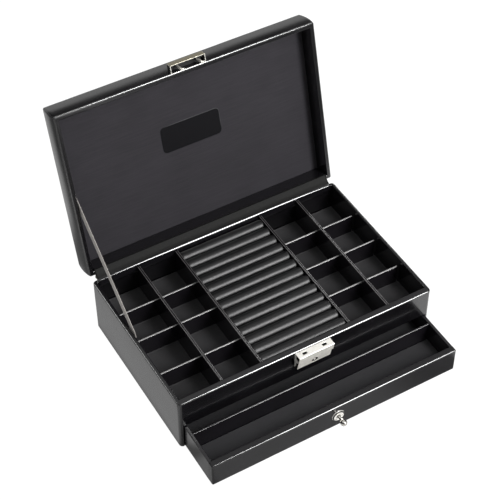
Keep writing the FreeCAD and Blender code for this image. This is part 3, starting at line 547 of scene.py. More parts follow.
def card(outline, thick, bm=None):
    """A flat card: an outline pushed out by a vector."""
    bm = bm or bmesh.new()
    face = bm.faces.new([bm.verts.new(point) for point in outline])
    bmesh.ops.translate(bm, vec=thick, verts=corners_in(bmesh.ops.extrude_face_region(bm, geom=[face])))
    return bm


def slices(bm, axis, places):
    """Cuts a shape across an axis, so that it can bend there."""
    for at in places:
        bmesh.ops.bisect_plane(bm, geom=bm.verts[:] + bm.edges[:] + bm.faces[:], plane_co=axis * at,
                               plane_no=axis, dist=1e-5)


def steps(low, high, count):
    return [low + (high - low) * i / count for i in range(count + 1)]


def arc(centre, radius, start, end, count):
    """Points on an arc in the YZ plane, by angle from +Y towards +Z, in degrees."""
    return [(centre[0] + radius * math.cos(math.radians(a)), centre[1] + radius * math.sin(math.radians(a)))
            for a in steps(start, end, count)]


def turned(profile, centre):
    """A shape turned on a lathe about an axis along Y. The profile is a list of (radius, y)."""
    sides = 56
    bm = bmesh.new()
    points = [bm.verts.new((radius, y, 0)) for radius, y in profile]
    edges = [bm.edges.new(pair) for pair in zip(points, points[1:])]
    bmesh.ops.spin(bm, geom=points + edges, cent=(0, 0, 0), axis=Y, angle=2 * math.pi, steps=sides, use_merge=True)
    bmesh.ops.remove_doubles(bm, verts=bm.verts, dist=1e-4)
    bmesh.ops.translate(bm, vec=centre, verts=bm.verts)
    return bm


def shell(faces):
    """A closed shape from its flat faces, each a list of corners."""
    bm = bmesh.new()
    for corners in faces:
        bm.faces.new([bm.verts.new(corner) for corner in corners])
    bmesh.ops.remove_doubles(bm, verts=bm.verts, dist=1e-4)
    bmesh.ops.recalc_face_normals(bm, faces=bm.faces)
    return bm


def rectangle(axis, at, first, second):
    """The corners of a rectangle, from its place on one axis and its ranges on the two others."""
    pairs = [(first[0], second[0]), (first[1], second[0]), (first[1], second[1]), (first[0], second[1])]
    return [(*pair[:axis], at, *pair[axis:]) for pair in pairs]


def near_to(value, goal):
    return abs(value - goal) < 0.02


def level(edge, height):
    return all(near_to(vert.co.z, height) for vert in edge.verts)


def is_fold(edge):
    """Tells a real edge from a line inside a flat face."""
    return len(edge.link_faces) == 2 and edge.calc_face_angle(0) > 0.5


def clamped(value):
    return max(0.0, min(1.0, value))


def ripple(x, y, z):
    """Smooth unevenness, from -1 to 1."""
    return noise.noise(Vector((x, y, z)))


def waves(bm, seed):
    """Lets every surface swell a little, as leather does over board."""
    broad_size, fine_size = 0.10, 0.012
    bm.normal_update()
    moves = []
    for vert in bm.verts:
        point = vert.co
        broad = noise.noise(point * 0.035 + Vector((seed, 0, 0))) + 0.45 * noise.noise(point * 0.11)
        moves.append(vert.normal * (broad_size * broad + fine_size * noise.noise(point * 0.5)))
    for vert, move in zip(bm.verts, moves):
        vert.co += move


def thicken(thing, side):
    """Gives a sheet its thickness: -1 puts it behind the sheet, and 0 on both sides."""
    thick = thing.modifiers.new("thickness", "SOLIDIFY")
    thick.thickness, thick.offset = SHEET_THICK * MM, side


BASE_IN_X, BASE_IN_FRONT, BASE_IN_BACK = 141.0, -85.0, 88.2
RAIL_LOW, SKIN_LOW, SEAT_X, BASE_SEAT = 31.8, 0.3, 139.2, 64.6


def carved(bm, cutters):
    """Cuts shapes out of a shape."""
    whole = added("whole", as_mesh(bm, "whole"))
    tools = []
    for cutter in cutters:
        bmesh.ops.recalc_face_normals(cutter, faces=cutter.faces)
        tools.append(added("cutter", as_mesh(cutter, "cutter")))
        cut = whole.modifiers.new("cut", "BOOLEAN")
        cut.operation, cut.solver, cut.object = "DIFFERENCE", "EXACT", tools[-1]
    bpy.context.view_layer.update()
    result = bpy.data.meshes.new_from_object(whole.evaluated_get(bpy.context.evaluated_depsgraph_get()))
    out = bmesh.new()
    out.from_mesh(result)
    for thing in [whole] + tools:
        bpy.data.objects.remove(thing)
    bmesh.ops.remove_doubles(out, verts=out.verts, dist=1e-3)
    return out


def well(low, high, brim, flare):
    """A block to cut with, whose walls curve outwards to leave a rounded brim at a height."""
    mid_x, mid_y = (low[0] + high[0]) / 2, (low[1] + high[1]) / 2
    half_x, half_y = (high[0] - low[0]) / 2, (high[1] - low[1]) / 2
    bm = grid(half_x, half_y, (mid_x, mid_y, low[2]))
    levels = [(0.0, brim - flare)]
    levels += [(flare * (1 - math.cos(a)), brim - flare + flare * math.sin(a))
               for a in (math.radians(d) for d in (18, 36, 54, 72, 88))]
    levels += [(flare * 1.2, brim + 0.3), (flare * 1.2, high[2])]
    face = bm.faces[:]
    for number, (reach, height) in enumerate(levels):
        grown = bmesh.ops.extrude_face_region(bm, geom=face)
        if number and face[0].is_valid:
            bmesh.ops.delete(bm, geom=face, context="FACES_ONLY")
        face = [part for part in grown["geom"] if isinstance(part, bmesh.types.BMFace)]
        for vert in corners_in(grown):
            vert.co.x = mid_x + math.copysign(half_x + reach, vert.co.x - mid_x)
            vert.co.y = mid_y + math.copysign(half_y + reach, vert.co.y - mid_y)
            vert.co.z = height
    return bm


def base_leather():
    """Walls of the base under one skin: a rail over the drawer mouth, a rim, and a lower seat for the hinge."""
    bm = block((-HALF_X, -HALF_Y, SKIN_LOW), (HALF_X, HALF_Y, RIM))
    soften(bm, 4.0, 10, lambda e: runs(e, Z))
    soften(bm, 1.7, 7, lambda e: level(e, RIM), held=False)
    soften(bm, 0.5, 2, lambda e: level(e, SKIN_LOW), held=False)
    tray = well((-BASE_IN_X, BASE_IN_FRONT, -2), (BASE_IN_X, BASE_IN_BACK, RIM + 3), RIM, 0.8)
    mouth = well((-BASE_IN_X, -2.0, -9), (BASE_IN_X, RAIL_LOW, 4), 0, 0.35)
    bmesh.ops.rotate(mouth, matrix=Matrix.Rotation(math.pi / 2, 3, "X"), verts=mouth.verts)
    bmesh.ops.translate(mouth, vec=(0, -HALF_Y, 0), verts=mouth.verts)
    fold, before, beyond, above = 1.3, 86, 95, 70
    low = BASE_SEAT - fold
    inner = arc((BASE_IN_BACK + fold, low), fold, 180, 90, 6)
    outer = arc((HALF_Y - fold, low), fold, 90, 0, 6)
    outline = [(before, low)] + inner + outer + [(beyond, low), (beyond, above), (before, above)]
    seat = card([(-SEAT_X, y, z) for y, z in outline], X * 2 * SEAT_X)
    bm = carved(bm, [tray, mouth, seat])
    for axis, low_at, high_at, count in ((X, -136, 136, 38), (Y, -82, 84, 22), (Z, 5, 60, 7)):
        slices(bm, axis, steps(low_at, high_at, count))
    waves(bm, 1.0)
    finished(bm, "base_leather_skin", "base", base_skin, replaces=["base_leather"])


base_leather()

LID_TOP = LID_RIM + 28.5
LID_IN_X, LID_IN_Y, LID_SEAT, LID_ROOF = 140.4, 87.4, 67.75, 87.4
DRAWER_LOW = 2.15


def lid_leather():
    """Walls and top of the lid under one skin, with its rim and a seat for the hinge."""
    out_x, out_y, low, top = HALF_X, HALF_Y, LID_RIM, LID_TOP
    in_x, in_y, roof, seat = LID_IN_X, LID_IN_Y, LID_ROOF, LID_SEAT

    def rear(half, y, upper):
        """A rear wall, with the hinge's seat cut out of its rim."""
        line = [(-half, upper), (half, upper), (half, low), (SEAT_X, low), (SEAT_X, seat), (-SEAT_X, seat),
                (-SEAT_X, low), (-half, low)]
        return [(x, y, z) for x, z in line]

    middle = [
        [(-out_x, -out_y, low), (out_x, -out_y, low), (in_x, -in_y, low), (-in_x, -in_y, low)],
        rectangle(2, seat, (-SEAT_X, SEAT_X), (in_y, out_y)),
        rectangle(1, -out_y, (-out_x, out_x), (low, top)),
        rear(out_x, out_y, top),
        rear(in_x, in_y, roof),
        rectangle(1, -in_y, (-in_x, in_x), (low, roof)),
        rectangle(2, roof, (-in_x, in_x), (-in_y, in_y)),
        rectangle(2, top, (-out_x, out_x), (-out_y, out_y)),
    ]
    right = [
        [(out_x, -out_y, low), (out_x, out_y, low), (SEAT_X, out_y, low), (SEAT_X, in_y, low),
         (in_x, in_y, low), (in_x, -in_y, low)],
        rectangle(0, out_x, (-out_y, out_y), (low, top)),
        rectangle(0, in_x, (-in_y, in_y), (low, roof)),
        rectangle(0, SEAT_X, (in_y, out_y), (seat, low)),
    ]
    left = [[(-x, y, z) for x, y, z in corners] for corners in right]
    bm = shell(middle + right + left)

    def inner(edge):
        m = middle_of(edge)
        return (near_to(abs(m.x), in_x) or near_to(abs(m.y), in_y)) and abs(m.x) < in_x + 0.1

    soften(bm, 1.9, 8, lambda e: runs(e, Z) and near_to(abs(middle_of(e).x), out_x))
    soften(bm, 1.8, 7, lambda e: level(e, top) and is_fold(e), held=False)
    soften(bm, 0.9, 5, lambda e: level(e, low) and is_fold(e) and (
        abs(middle_of(e).x) > 142 or abs(middle_of(e).y) > 91.9), held=False)
    soften(bm, 0.8, 4, lambda e: level(e, low) and is_fold(e) and inner(e))
    soften(bm, 0.9, 3, lambda e: level(e, seat) and runs(e, X) and middle_of(e).y > 91)
    for axis, low_at, high_at, count in ((X, -136, 136, 38), (Y, -84, 84, 24), (Z, 69, 91, 8)):
        slices(bm, axis, steps(low_at, high_at, count))
    bulge_most, near_wall = 0.9, 1.3
    for vert in bm.verts:
        rise = (vert.co.z - low) / (top - low)
        bulge = bulge_most * 4 * rise * (1 - rise) if 0 < rise < 1 else 0.0
        if vert.co.y > out_y - near_wall:
            vert.co.y += bulge
        if vert.co.y < near_wall - out_y:
            vert.co.y -= bulge + 0.8 * max(0.0, 1 - rise / 0.7)
        if abs(vert.co.x) > out_x - near_wall:
            vert.co.x += math.copysign(bulge * 1.3, vert.co.x)
    waves(bm, 5.0)
    finished(bm, "lid_leather_skin", "lid", lid_skin, place=LID_OPEN, replaces=["lid_leather"])


lid_leather()


def drawer_front():
    """The drawer's front under its own skin."""
    half, front, back, top = 140.7, -92, -85, 31.3
    bm = block((-half, front, DRAWER_LOW), (half, back, top))
    soften(bm, 1.6, 6, lambda e: runs(e, Z) and middle_of(e).y < front + 1)
    soften(bm, 1.9, 7, lambda e: level(e, top) and middle_of(e).y < back - 0.5)
    soften(bm, 0.8, 3, lambda e: level(e, DRAWER_LOW) and middle_of(e).y < back - 0.5)
    soften(bm, 0.9, 4, lambda e: near_to(middle_of(e).y, back) and not level(e, DRAWER_LOW))
    slices(bm, X, steps(-136, 136, 40))
    slices(bm, Z, steps(5, 28, 4))
    waves(bm, 9.0)
    finished(bm, "drawer_front_skin", "drawer", drawer_skin, place=DRAWER_OUT,
             replaces=["drawer_front_leather"])


drawer_front()


def tray_cloth():
    """The cloth on the tray's floor, which turns up a little against every divider."""
    middle = Vector((0, (TRAY_BACK + TRAY_FRONT) / 2, TRAY_FLOOR - 0.4))
    bm = grid(TRAY_SIDE, (TRAY_BACK - TRAY_FRONT) / 2, middle)
    rise = ((0.0, 0.9), (0.22, 0.5), (0.55, 0.2), (1.0, 0.05), (1.6, 0.0))
    faces_x = [-TRAY_SIDE, TRAY_SIDE] + [at + way * LONG_CARD / 2 for at in LONG_AT for way in (-1, 1)]
    left_y, right_y = ([TRAY_FRONT, TRAY_BACK] + [at + way * CARD / 2 for at in rows for way in (-1, 1)]
                       for rows in (ROWS_LEFT, ROWS_RIGHT))
    for axis, faces in ((X, faces_x), (Y, left_y + right_y)):
        slices(bm, axis, sorted({round(at + way * reach, 3) for at in faces for reach, _ in rise for way in (-1, 1)}))
    for axis, count, low, high in ((X, 44, -TRAY_SIDE, TRAY_SIDE), (Y, 28, TRAY_FRONT, TRAY_BACK)):
        slices(bm, axis, steps(low, high, count))
    bmesh.ops.remove_doubles(bm, verts=bm.verts, dist=0.02)

    def height(reach):
        for (near, up), (far, down) in zip(rise, rise[1:]):
            if near <= reach <= far:
                return up + (down - up) * (reach - near) / (far - near)
        return 0.0

    for vert in bm.verts:
        x, y = vert.co.x, vert.co.y
        if abs(x) < LONG_AT[2] + LONG_CARD / 2:
            continue
        rows, faces_y = (ROWS_RIGHT, right_y) if x > 0 else (ROWS_LEFT, left_y)
        under = any(abs(x - at) < LONG_CARD / 2 - 0.01 for at in LONG_AT) or any(
            abs(y - at) < CARD / 2 - 0.01 for at in rows)
        if not under:
            vert.co.z += height(min([abs(x - at) for at in faces_x] + [abs(y - at) for at in faces_y]))
        vert.co.z += 0.10 * ripple(x * 0.06, y * 0.06, 3.0)
    thing = finished(bm, "tray_floor_cloth", "base", pocket_cloth, replaces=["tray_lining"],
                     sharp=70, even=False)
    thicken(thing, -1)


tray_cloth()


def long_divider(number, at, laps):
    """Two covered leaves back to back, notched from below over the cross dividers where it meets any."""
    half_notch = 1.05
    bm = bmesh.new()
    for side in (-1, 1):
        inner, outer = at + side * 0.03, at + side * LONG_CARD / 2
        outline = [(TRAY_FRONT, TRAY_FLOOR)]
        if laps:
            for cross in ROWS_RIGHT if at > 0 else ROWS_LEFT:
                near, far = cross - half_notch, cross + half_notch
                outline += [(near, TRAY_FLOOR), (near, LAP), (far, LAP), (far, TRAY_FLOOR)]
        outline += [(TRAY_BACK, TRAY_FLOOR), (TRAY_BACK, LONG_TOP), (TRAY_FRONT, LONG_TOP)]
        card([(inner, y, z) for y, z in outline], X * (outer - inner), bm)
    soften(bm, 0.5, 4, lambda e: runs(e, Y) and level(e, LONG_TOP))
    slices(bm, Y, steps(TRAY_FRONT, TRAY_BACK, 24)[1:-1])
    for vert in bm.verts:
        if vert.co.z > LONG_TOP - 3:
            vert.co.x += 0.05 * ripple(at, vert.co.y * 0.03, 1.0)
            vert.co.z += 0.05 * ripple(at, vert.co.y * 0.03, 7.0)
    finished(bm, "divider_long_%d_leaves" % number, "base", long_skin,
             replaces=["divider_long_%d" % number])


def cross_divider(number, side, at):
    """One folded cover, notched from above for its long divider. A left one is made at the right and mirrored."""
    near, far = 51.75, 138.7
    lap_at, half_notch = abs(LONG_AT[3 if side > 0 else 0]), LONG_CARD / 2 + 0.05
    lap_near, lap_far = lap_at - half_notch, lap_at + half_notch
    outline = [(near, TRAY_FLOOR), (far, TRAY_FLOOR), (far, CROSS_TOP), (lap_far, CROSS_TOP),
               (lap_far, LAP), (lap_near, LAP), (lap_near, CROSS_TOP), (near, CROSS_TOP)]
    bm = card([(x, at - CARD / 2, z) for x, z in outline], Y * CARD)
    soften(bm, 0.85, 5, lambda e: runs(e, X) and level(e, CROSS_TOP))
    slices(bm, X, [x for x in steps(near, far, 14)[1:-1] if abs(x - lap_at) > 1.8])
    for vert in bm.verts:
        if vert.co.z > CROSS_TOP - 3:
            vert.co.y += 0.05 * ripple(vert.co.x * 0.04, at, side)
            vert.co.z += 0.03 * ripple(vert.co.x * 0.04, at, side + 5)
    if side < 0:
        bmesh.ops.scale(bm, vec=(-1, 1, 1), verts=bm.verts)
    finished(bm, "divider_cross_%d_cover" % number, "base", cross_skin,
             replaces=["divider_cross_%d" % number])


for number, at in enumerate(LONG_AT, start=1):
    long_divider(number, at, number in (1, 4))
for row, (left_at, right_at) in enumerate(zip(ROWS_LEFT, ROWS_RIGHT), start=1):
    cross_divider(row, -1, left_at)
    cross_divider(row + 3, 1, right_at)

# Ring rolls: thirteen soft rolls side by side on the bed
ROLLS = 13
ROLL_PITCH = (TRAY_BACK - TRAY_FRONT) / ROLLS
ROLL_RADIUS, ROLL_HALF = 6.5, 48.8
ROLL_AXIS = RIM - 0.8 - ROLL_RADIUS
BED_TOP, FOOT_HALF = 51.5, 5.0


def ring_roll(number):
    """A soft roll, flat underneath where it lies on the bed."""
    centre = TRAY_FRONT + (number - 0.5) * ROLL_PITCH
    bm = bmesh.new()
    bmesh.ops.create_cone(bm, cap_ends=True, segments=44, radius1=ROLL_RADIUS, radius2=ROLL_RADIUS,
                          depth=2 * ROLL_HALF)
    bmesh.ops.rotate(bm, matrix=Matrix.Rotation(math.pi / 2, 3, "Y"), verts=bm.verts)
    soften(bm, 1.5, 5, lambda e: abs(middle_of(e).x) > ROLL_HALF - 0.1)
    slices(bm, X, steps(-ROLL_HALF + 2, ROLL_HALF - 2, 46))
    drop = math.sqrt(ROLL_RADIUS ** 2 - FOOT_HALF ** 2)
    for vert in bm.verts:
        point = vert.co
        if point.z < -drop - 0.01:
            point.z = BED_TOP - ROLL_AXIS
        seed = number * 7.3
        swell = 0.16 * ripple(point.x * 0.035, seed, 0) + 0.07 * ripple(point.x * 0.14, point.y * 0.2, seed)
        if point.z > -drop:
            point += Vector((0, point.y, point.z)).normalized() * (swell - 0.12)
        point.z += ROLL_AXIS
        point.y += centre
    thing = finished(bm, "ring_roll_%02d_cover" % number, "base", roll_skin,
                     replaces=["ring_roll_%02d" % number], sharp=60)


for number in range(1, ROLLS + 1):
    ring_roll(number)

STRIP_HALF, STRIP_BACK = 139.0, 87.9


def hinge_strip():
    """One sheet: up the base wall, over its rim in a glossy fold, across the hinge, and in along the lid wall."""
    fold, crease, slack_most = 1.9, 0.35, 0.9
    foot = [(STRIP_BACK, 58.0), (STRIP_BACK, 61.0), (STRIP_BACK, 63.5)]
    over = arc((STRIP_BACK + fold, RIM - fold + 0.9), fold, 180, 75, 12)
    lid_wall, turn_in = LID_IN_Y - crease, LID_SEAT - 0.5
    edge = LID_OPEN @ Vector((0, lid_wall, turn_in))
    start = Vector((0, *over[-1]))
    across = []
    for share in steps(0, 1, 12)[1:-1]:
        point = start.lerp(edge, share)
        slack = slack_most * math.sin(math.pi * share)
        across.append((point.y + 0.45 * slack, point.z - 0.9 * slack))
    inside = [LID_OPEN @ Vector((0, lid_wall, z)) for z in steps(turn_in + crease, 86.2, 10)]
    line = foot + over + across + [(p.y, p.z) for p in [edge] + inside]
    bm = bmesh.new()
    points = [bm.verts.new((-STRIP_HALF, y, z)) for y, z in line]
    edges = [bm.edges.new(pair) for pair in zip(points, points[1:])]
    made = bmesh.ops.extrude_edge_only(bm, edges=edges)
    bmesh.ops.translate(bm, vec=X * 2 * STRIP_HALF, verts=corners_in(made))
    slices(bm, X, steps(-STRIP_HALF, STRIP_HALF, 150)[1:-1])
    for vert in bm.verts:
        x, y, z = vert.co
        bow = 1 - (x / STRIP_HALF) ** 6
        on_fold = clamped((z - 62) / 4) * math.exp(-(max(0.0, y - 90.0) / 3.0) ** 2)
        vert.co.z += 0.9 * bow * on_fold
        vert.co.y += 0.5 * bow * on_fold
        creased = math.exp(-((y - 94.0) / 2.6) ** 2)
        vert.co.z += 0.04 * ripple(x * 0.03, y * 0.2, 2.0)
        vert.co.z += 0.22 * creased * ripple(x * 0.30, y * 0.9, z * 0.9)
        vert.co.y += 0.18 * creased * ripple(x * 0.26, y * 0.8, z * 0.8 + 5)
    thing = finished(bm, "hinge_strip_leather", None, strip_skin, replaces=["hinge_strip"],
                     sharp=32, even=False)
    matt = thing.data.attributes.new("matt", "FLOAT", "POINT")
    for vert, spot in zip(thing.data.vertices, matt.data):
        y = vert.co.y / MM
        past_fold, before_lid = clamped((y - 89.9) / 0.9), clamped((100.6 - y) / 1.6)
        spot.value = past_fold * before_lid
    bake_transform(thing)
    thicken(thing, 0)


hinge_strip()


def stay_ribbon():
    """From the left wall of the base to the left wall of the lid."""
    half_thick, half_wide = 0.4, 4.4
    foot = Vector((-139.3, 6.7, 61.7))
    head = LID_OPEN @ Vector((-139.3, -3.4, 81.6)) + Vector((0, -0.9, 1.0))
    along = head - foot
    length = along.length
    bm = block((-half_thick, 0, -half_wide), (half_thick, length, half_wide))
    soften(bm, 0.25, 2, lambda e: runs(e, Y))
    slices(bm, Y, steps(0, length, 60)[1:-1])
    for vert in bm.verts:
        vert.co.z *= 0.35 + 0.65 * min(1.0, vert.co.y / 6)
    slope = Matrix.Rotation(math.atan2(along.z, along.y), 4, "X")
    thing = finished(bm, "lid_stay_ribbon", None, ribbon, place=Matrix.Translation(foot) @ slope,
                     replaces=["lid_stay"])
    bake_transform(thing)


stay_ribbon()

# Lid lining and its bare label patch
LINING_X, LINING_Y = 140.3, 87.3
CEILING = LID_RIM + 20.0


def lid_lining():
    bm = grid(LINING_X, LINING_Y, across=56, along=36)
    for axis, half in ((X, LINING_X), (Y, LINING_Y)):
        slices(bm, axis, [s * (half - d) for s in (-1, 1) for d in (0.3, 0.7, 1.3, 2.2)])
    for vert in bm.verts:
        x, y = vert.co.x, vert.co.y
        edge = min(LINING_X - abs(x), LINING_Y - abs(y))
        puff = 0.35 * (1 - math.exp(-edge / 1.2))
        vert.co.z = CEILING + 0.35 - puff + 0.08 * ripple(x * 0.03, y * 0.03, 4.0)
    bmesh.ops.reverse_faces(bm, faces=bm.faces)
    thing = finished(bm, "lid_lining_cloth", "lid", lid_cloth, place=LID_OPEN,
                     replaces=["lid_lining"], sharp=80, even=False)
    thicken(thing, 0)


lid_lining()


def label_patch():
    low, high = CEILING - 0.5, CEILING + 0.1
    bm = block((LABEL_X - LABEL_HALF_X, LABEL_Y - LABEL_HALF_Y, low),
               (LABEL_X + LABEL_HALF_X, LABEL_Y + LABEL_HALF_Y, high))
    soften(bm, LABEL_CORNER, 8, lambda e: runs(e, Z))
    soften(bm, 0.3, 3, lambda e: level(e, low))
    finished(bm, "label_patch", "lid", label_face, place=LID_OPEN, replaces=["label_plaque"])


label_patch()

# Drawer: covered walls, a divider and two loose pads
INNER_X, OUTER_X = 137.1, 140.5
FLOOR, DRAWER_TOP = 5.15, 30.5
DRAWER_FRONT, DRAWER_BACK = -85.0, 84.7
DIVIDER_AT = (-49.4, -47.4)


def drawer_wall(name, node, range_x, range_y, low, rounding=0.55):
    bm = block((range_x[0], range_y[0], low), (range_x[1], range_y[1], DRAWER_TOP))
    long_way, reach = (X, range_x) if range_x[1] - range_x[0] > range_y[1] - range_y[0] else (Y, range_y)
    soften(bm, rounding, 4, lambda e: runs(e, long_way) and level(e, DRAWER_TOP))
    slices(bm, long_way, steps(*reach, 30)[1:-1])
    for vert in bm.verts:
        if vert.co.z > DRAWER_TOP - 2:
            vert.co.z += 0.08 * ripple(vert.co.x * 0.04, vert.co.y * 0.04, 9.0)
    finished(bm, name, "drawer", card_skin, place=DRAWER_OUT, replaces=[node])


SIDE_Y, ACROSS = (DRAWER_FRONT, DRAWER_BACK), (-INNER_X, INNER_X)
drawer_wall("drawer_side_left_cover", "drawer_side_left", (-OUTER_X, -INNER_X), SIDE_Y, DRAWER_LOW)
drawer_wall("drawer_side_right_cover", "drawer_side_right", (INNER_X, OUTER_X), SIDE_Y, DRAWER_LOW)
drawer_wall("drawer_back_cover", "drawer_back", ACROSS, (DRAWER_BACK - 3.4, DRAWER_BACK), DRAWER_LOW)
drawer_wall("drawer_divider_cover", "drawer_divider_strip", ACROSS, DIVIDER_AT, FLOOR, rounding=0.85)


def drawer_pad(name, y_low, y_high, node):
    top = FLOOR + 2.75
    bm = block((-INNER_X + 0.15, y_low, FLOOR), (INNER_X - 0.15, y_high, top))
    soften(bm, 0.7, 4, lambda e: level(e, top))
    slices(bm, X, steps(-INNER_X, INNER_X, 60)[1:-1])
    slices(bm, Y, steps(y_low, y_high, 12)[1:-1])
    for vert in bm.verts:
        x, y, z = vert.co
        if z > FLOOR + 1:
            edge = min(INNER_X - abs(x), y - y_low, y_high - y)
            vert.co.z += -0.25 * math.exp(-edge / 2.0) + 0.08 * ripple(x * 0.03, y * 0.05, 6.0)
    thing = finished(bm, name, "drawer", pad_cloth, place=DRAWER_OUT, replaces=[node], sharp=60)


drawer_pad("drawer_pad_front_cover", -84.85, DIVIDER_AT[0] - 0.1, "drawer_pad_front")
drawer_pad("drawer_pad_back_cover", DIVIDER_AT[1] + 0.1, 81.2, "drawer_pad_back")


def knob():
    """A turned ball on a neck, and the rosette round its foot."""
    neck = [(0.0, 5.5), (1.7, 5.5), (1.7, -1.6), (1.95, -2.0), (1.5, -3.2), (1.3, -5.2), (1.35, -6.4),
            (2.2, -6.9)]
    radius, tip = 3.5, -13.8
    ball = [(radius * math.sin(a), tip + radius + radius * math.cos(a))
            for a in (math.radians(d) for d in range(32, 180, 8))]
    finished(turned(neck + ball + [(0.0, tip)], KNOB_AT), "knob_turned", "drawer", nickel_bright,
             place=DRAWER_OUT, replaces=["knob"], sharp=50, even=False)
    cup = [(1.75, -0.05), (6.9, -0.05), (7.0, -0.35), (6.8, -0.7), (6.1, -1.35), (5.6, -1.6), (5.2, -1.55),
           (4.6, -1.2), (3.6, -1.0), (2.7, -1.05), (2.2, -1.3), (1.75, -1.35), (1.75, -0.05)]
    finished(turned(cup, KNOB_AT), "knob_rosette_turned", "drawer", rosette_nickel,
             place=DRAWER_OUT, replaces=["knob_rosette"], sharp=50, even=False)


knob()


def pressed(node, body, finish, radius):
    """A node's own shape in folded sheet, with its edges rounded over."""
    bm = bmesh.new()
    bm.from_mesh(frame["nodes"][node].data)
    bmesh.ops.scale(bm, vec=(1 / MM, 1 / MM, 1 / MM), verts=bm.verts)
    bmesh.ops.remove_doubles(bm, verts=bm.verts, dist=1e-3)
    bmesh.ops.dissolve_limit(bm, angle_limit=math.radians(1.5), verts=bm.verts, edges=bm.edges)
    soften(bm, radius, 3, is_fold)
    finished(bm, node + "_pressed", body, finish, replaces=[node], sharp=50)


pressed("lock_case", "base", lock_nickel, 0.22)
pressed("lock_frame", "base", frame_nickel, 0.12)
pressed("catch_bracket", "lid", bracket_metal, 0.16)
pressed("catch_hooks", "lid", hook_metal, 0.25)

# CAD pieces that keep their shape get their finish
FINISHES = {
    "black_leather": base_skin, "board": grey_board, "bottom_paper": foot_paper, "lid_velvet": lid_cloth,
    "tray_cloth": pocket_cloth, "drawer_cloth": pad_cloth, "roll_cloth": roll_skin, "label": label_face,
    "stay_strap": ribbon, "hinge_cloth": strip_skin, "nickel": nickel, "steel": steel,
}
OWN_FINISH = {"lid_leather": lid_skin, "drawer_front_leather": drawer_skin, "lock_cam": painted_shade_steel}
slot_of = {row["node"]: row["material_slot"] for row in frame["record"]["subparts"]}
for node, thing in frame["nodes"].items():
    finish = OWN_FINISH.get(node, FINISHES[slot_of[node]])
    for spot in thing.material_slots:
        spot.material = finish
    if not thing.material_slots:
        thing.data.materials.append(finish)


# ---------------------------------------------------------------- studio
def camera():
    """The photograph's view: from the left front, looking down."""
    azimuth, elevation, distance = math.radians(-30.44), math.radians(46.30), 1.558
    focal_pixels, photo_pixels = 1457.4, 500
    target = Vector((0.03299, 0.07868, 0.030))
    back = Vector((math.sin(azimuth) * math.cos(elevation), -math.cos(azimuth) * math.cos(elevation),
                   math.sin(elevation)))
    right = Vector((math.cos(azimuth), math.sin(azimuth), 0))
    axes = Matrix((right, back.cross(right), back)).transposed()
    lens = bpy.data.cameras.new("camera")
    lens.sensor_width = 36
    lens.lens = focal_pixels / photo_pixels * lens.sensor_width
    lens.clip_start, lens.clip_end = 0.05, 50
    scene.camera = added("camera", lens)
    scene.camera.matrix_world = Matrix.Translation(target + back * distance) @ axes.to_4x4()


camera()


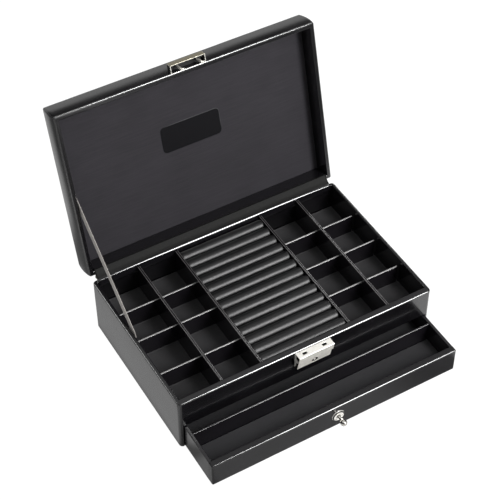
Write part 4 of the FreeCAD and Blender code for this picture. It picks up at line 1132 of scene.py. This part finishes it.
def floor():
    """White floor. In a mirror it shows painted light and painted shadow: lit sides, and a painted shadow on the
    dimmer part before the case.
    """
    f = Finish("studio floor")
    x, y, z = f.axes(f.place())
    # Painted light and shadow seen only in mirrors: zones where the floor would be lit, and dimmer ones where the
    # case would shade it.
    past_corner = y - 0.85 * (x + 0.149)
    reach = x + 0.03 * f.step(y, -0.05, -0.09)
    left = (f.step(reach, -0.182, -0.168) * f.step(x, -0.140, -0.150) * f.step(past_corner, -0.104, -0.084)
            * f.step(y, 0.19, 0.15))
    left_back = f.step(x + 0.38 * y, -0.142, -0.104) * f.step(x, -0.08, -0.14) * f.step(y, 0.20, 0.27)
    left_edge = f.step(x, -0.30, -0.34) * f.step(x, -0.56, -0.50) * f.step(y, 0.06, 0.0) * f.step(y, -0.26, -0.20)
    aside = f.step(x, -0.200, -0.175) * f.step(x, -0.138, -0.143) * f.step(y, -0.104, -0.118)
    right = f.step(x, 0.148, 0.158) * f.step(x, 0.30, 0.22)
    front = (f.step(x, -0.140, -0.128) * f.step(y, -0.200, -0.176) * f.step(y, -0.08, -0.12)
             * f.step(x, 0.04, 0.13, 0.23, 0.08))
    far = (f.step(y, -0.176, -0.185) * f.step(y, -0.235, -0.220) * f.step(x, -0.06, -0.03)
           * f.step(x, 0.0, 0.16, 1.0, 0.6))
    behind = f.step(y, 0.10, 0.30) * f.step(x, -0.16, -0.12)
    in_mirror = f.step(y, -0.30, -0.24, 0.04, 0.18) * f.step(x, -0.30, -0.20, 0.3, 1.0)
    # Painted shadow in front of the drawer's right part.
    in_mirror = in_mirror * (1 - 0.8 * f.step(x, 0.03, 0.12) * f.step(y, -0.140, -0.155))
    in_mirror = (in_mirror + 0.42 * left + 0.46 * left_back + 0.70 * left_edge + 0.20 * aside + right + front
                 + 0.80 * far + 0.25 * behind)
    by_camera, mirrored, through = f.rays()
    strength = f.largest(by_camera * 1.1, in_mirror * (1 - by_camera))
    matt = f.node("ShaderNodeBsdfDiffuse", None, {"Color": (0.82, 0.82, 0.82, 1)})
    white = f.node("ShaderNodeEmission", None, {"Color": (1, 1, 1, 1), "Strength": strength})
    seen = f.largest(by_camera, mirrored, through)
    f.show(f.node("ShaderNodeMixShader", None, {0: seen * 0.9, 1: matt, 2: white}))
    thing = added("studio_floor", as_mesh(grid(8, 8), "studio_floor"))
    thing.data.materials.append(f.owner)
    thing.location.z = -0.0003


floor()


def surroundings():
    """White backdrop all round; in a mirror the studio is light overhead and low down behind."""
    scene.world = bpy.data.worlds.new("studio")
    f = Finish("studio", scene.world)
    x, y, z = f.axes(f.node("ShaderNodeTexCoord", out="Generated"))
    low_glow = f.step(y, 0.0, 0.4) * f.step(z, 0.26, 0.13) * f.step(f.size_of(x), 0.62, 0.50)
    overhead = f.step(z, 0.62, 0.80)
    studio = 0.05 + 0.66 * low_glow + 0.52 * overhead
    by_camera, mirrored, through = f.rays()
    seen = f.largest(mirrored, through)
    strength = by_camera + (1 - by_camera) * (seen * studio + (1 - seen) * 0.45)
    f.show(f.node("ShaderNodeBackground", None, {"Color": (1, 1, 1, 1), "Strength": strength}),
           "ShaderNodeOutputWorld")


surroundings()


def softbox(name, place, wide, high, radiance):
    """A rectangular light of even brightness, turned to the case."""
    light = bpy.data.lights.new(name, "AREA")
    light.shape = "RECTANGLE"
    light.size, light.size_y = wide, high
    light.energy = radiance * math.pi * wide * high
    lamp = added(name, light)
    lamp.location = place
    lamp.rotation_mode = "QUATERNION"
    lamp.rotation_quaternion = (Vector((0, 0, 0.05)) - Vector(place)).to_track_quat("-Z", "Y")


softbox("front softbox", (0.60, -1.20, 1.00), 0.40, 1.10, 24)
softbox("left rear softbox", (-1.45, 1.20, 0.75), 0.5, 0.5, 4.5)
softbox("right rear softbox", (1.45, 1.20, 0.70), 0.5, 0.5, 10)
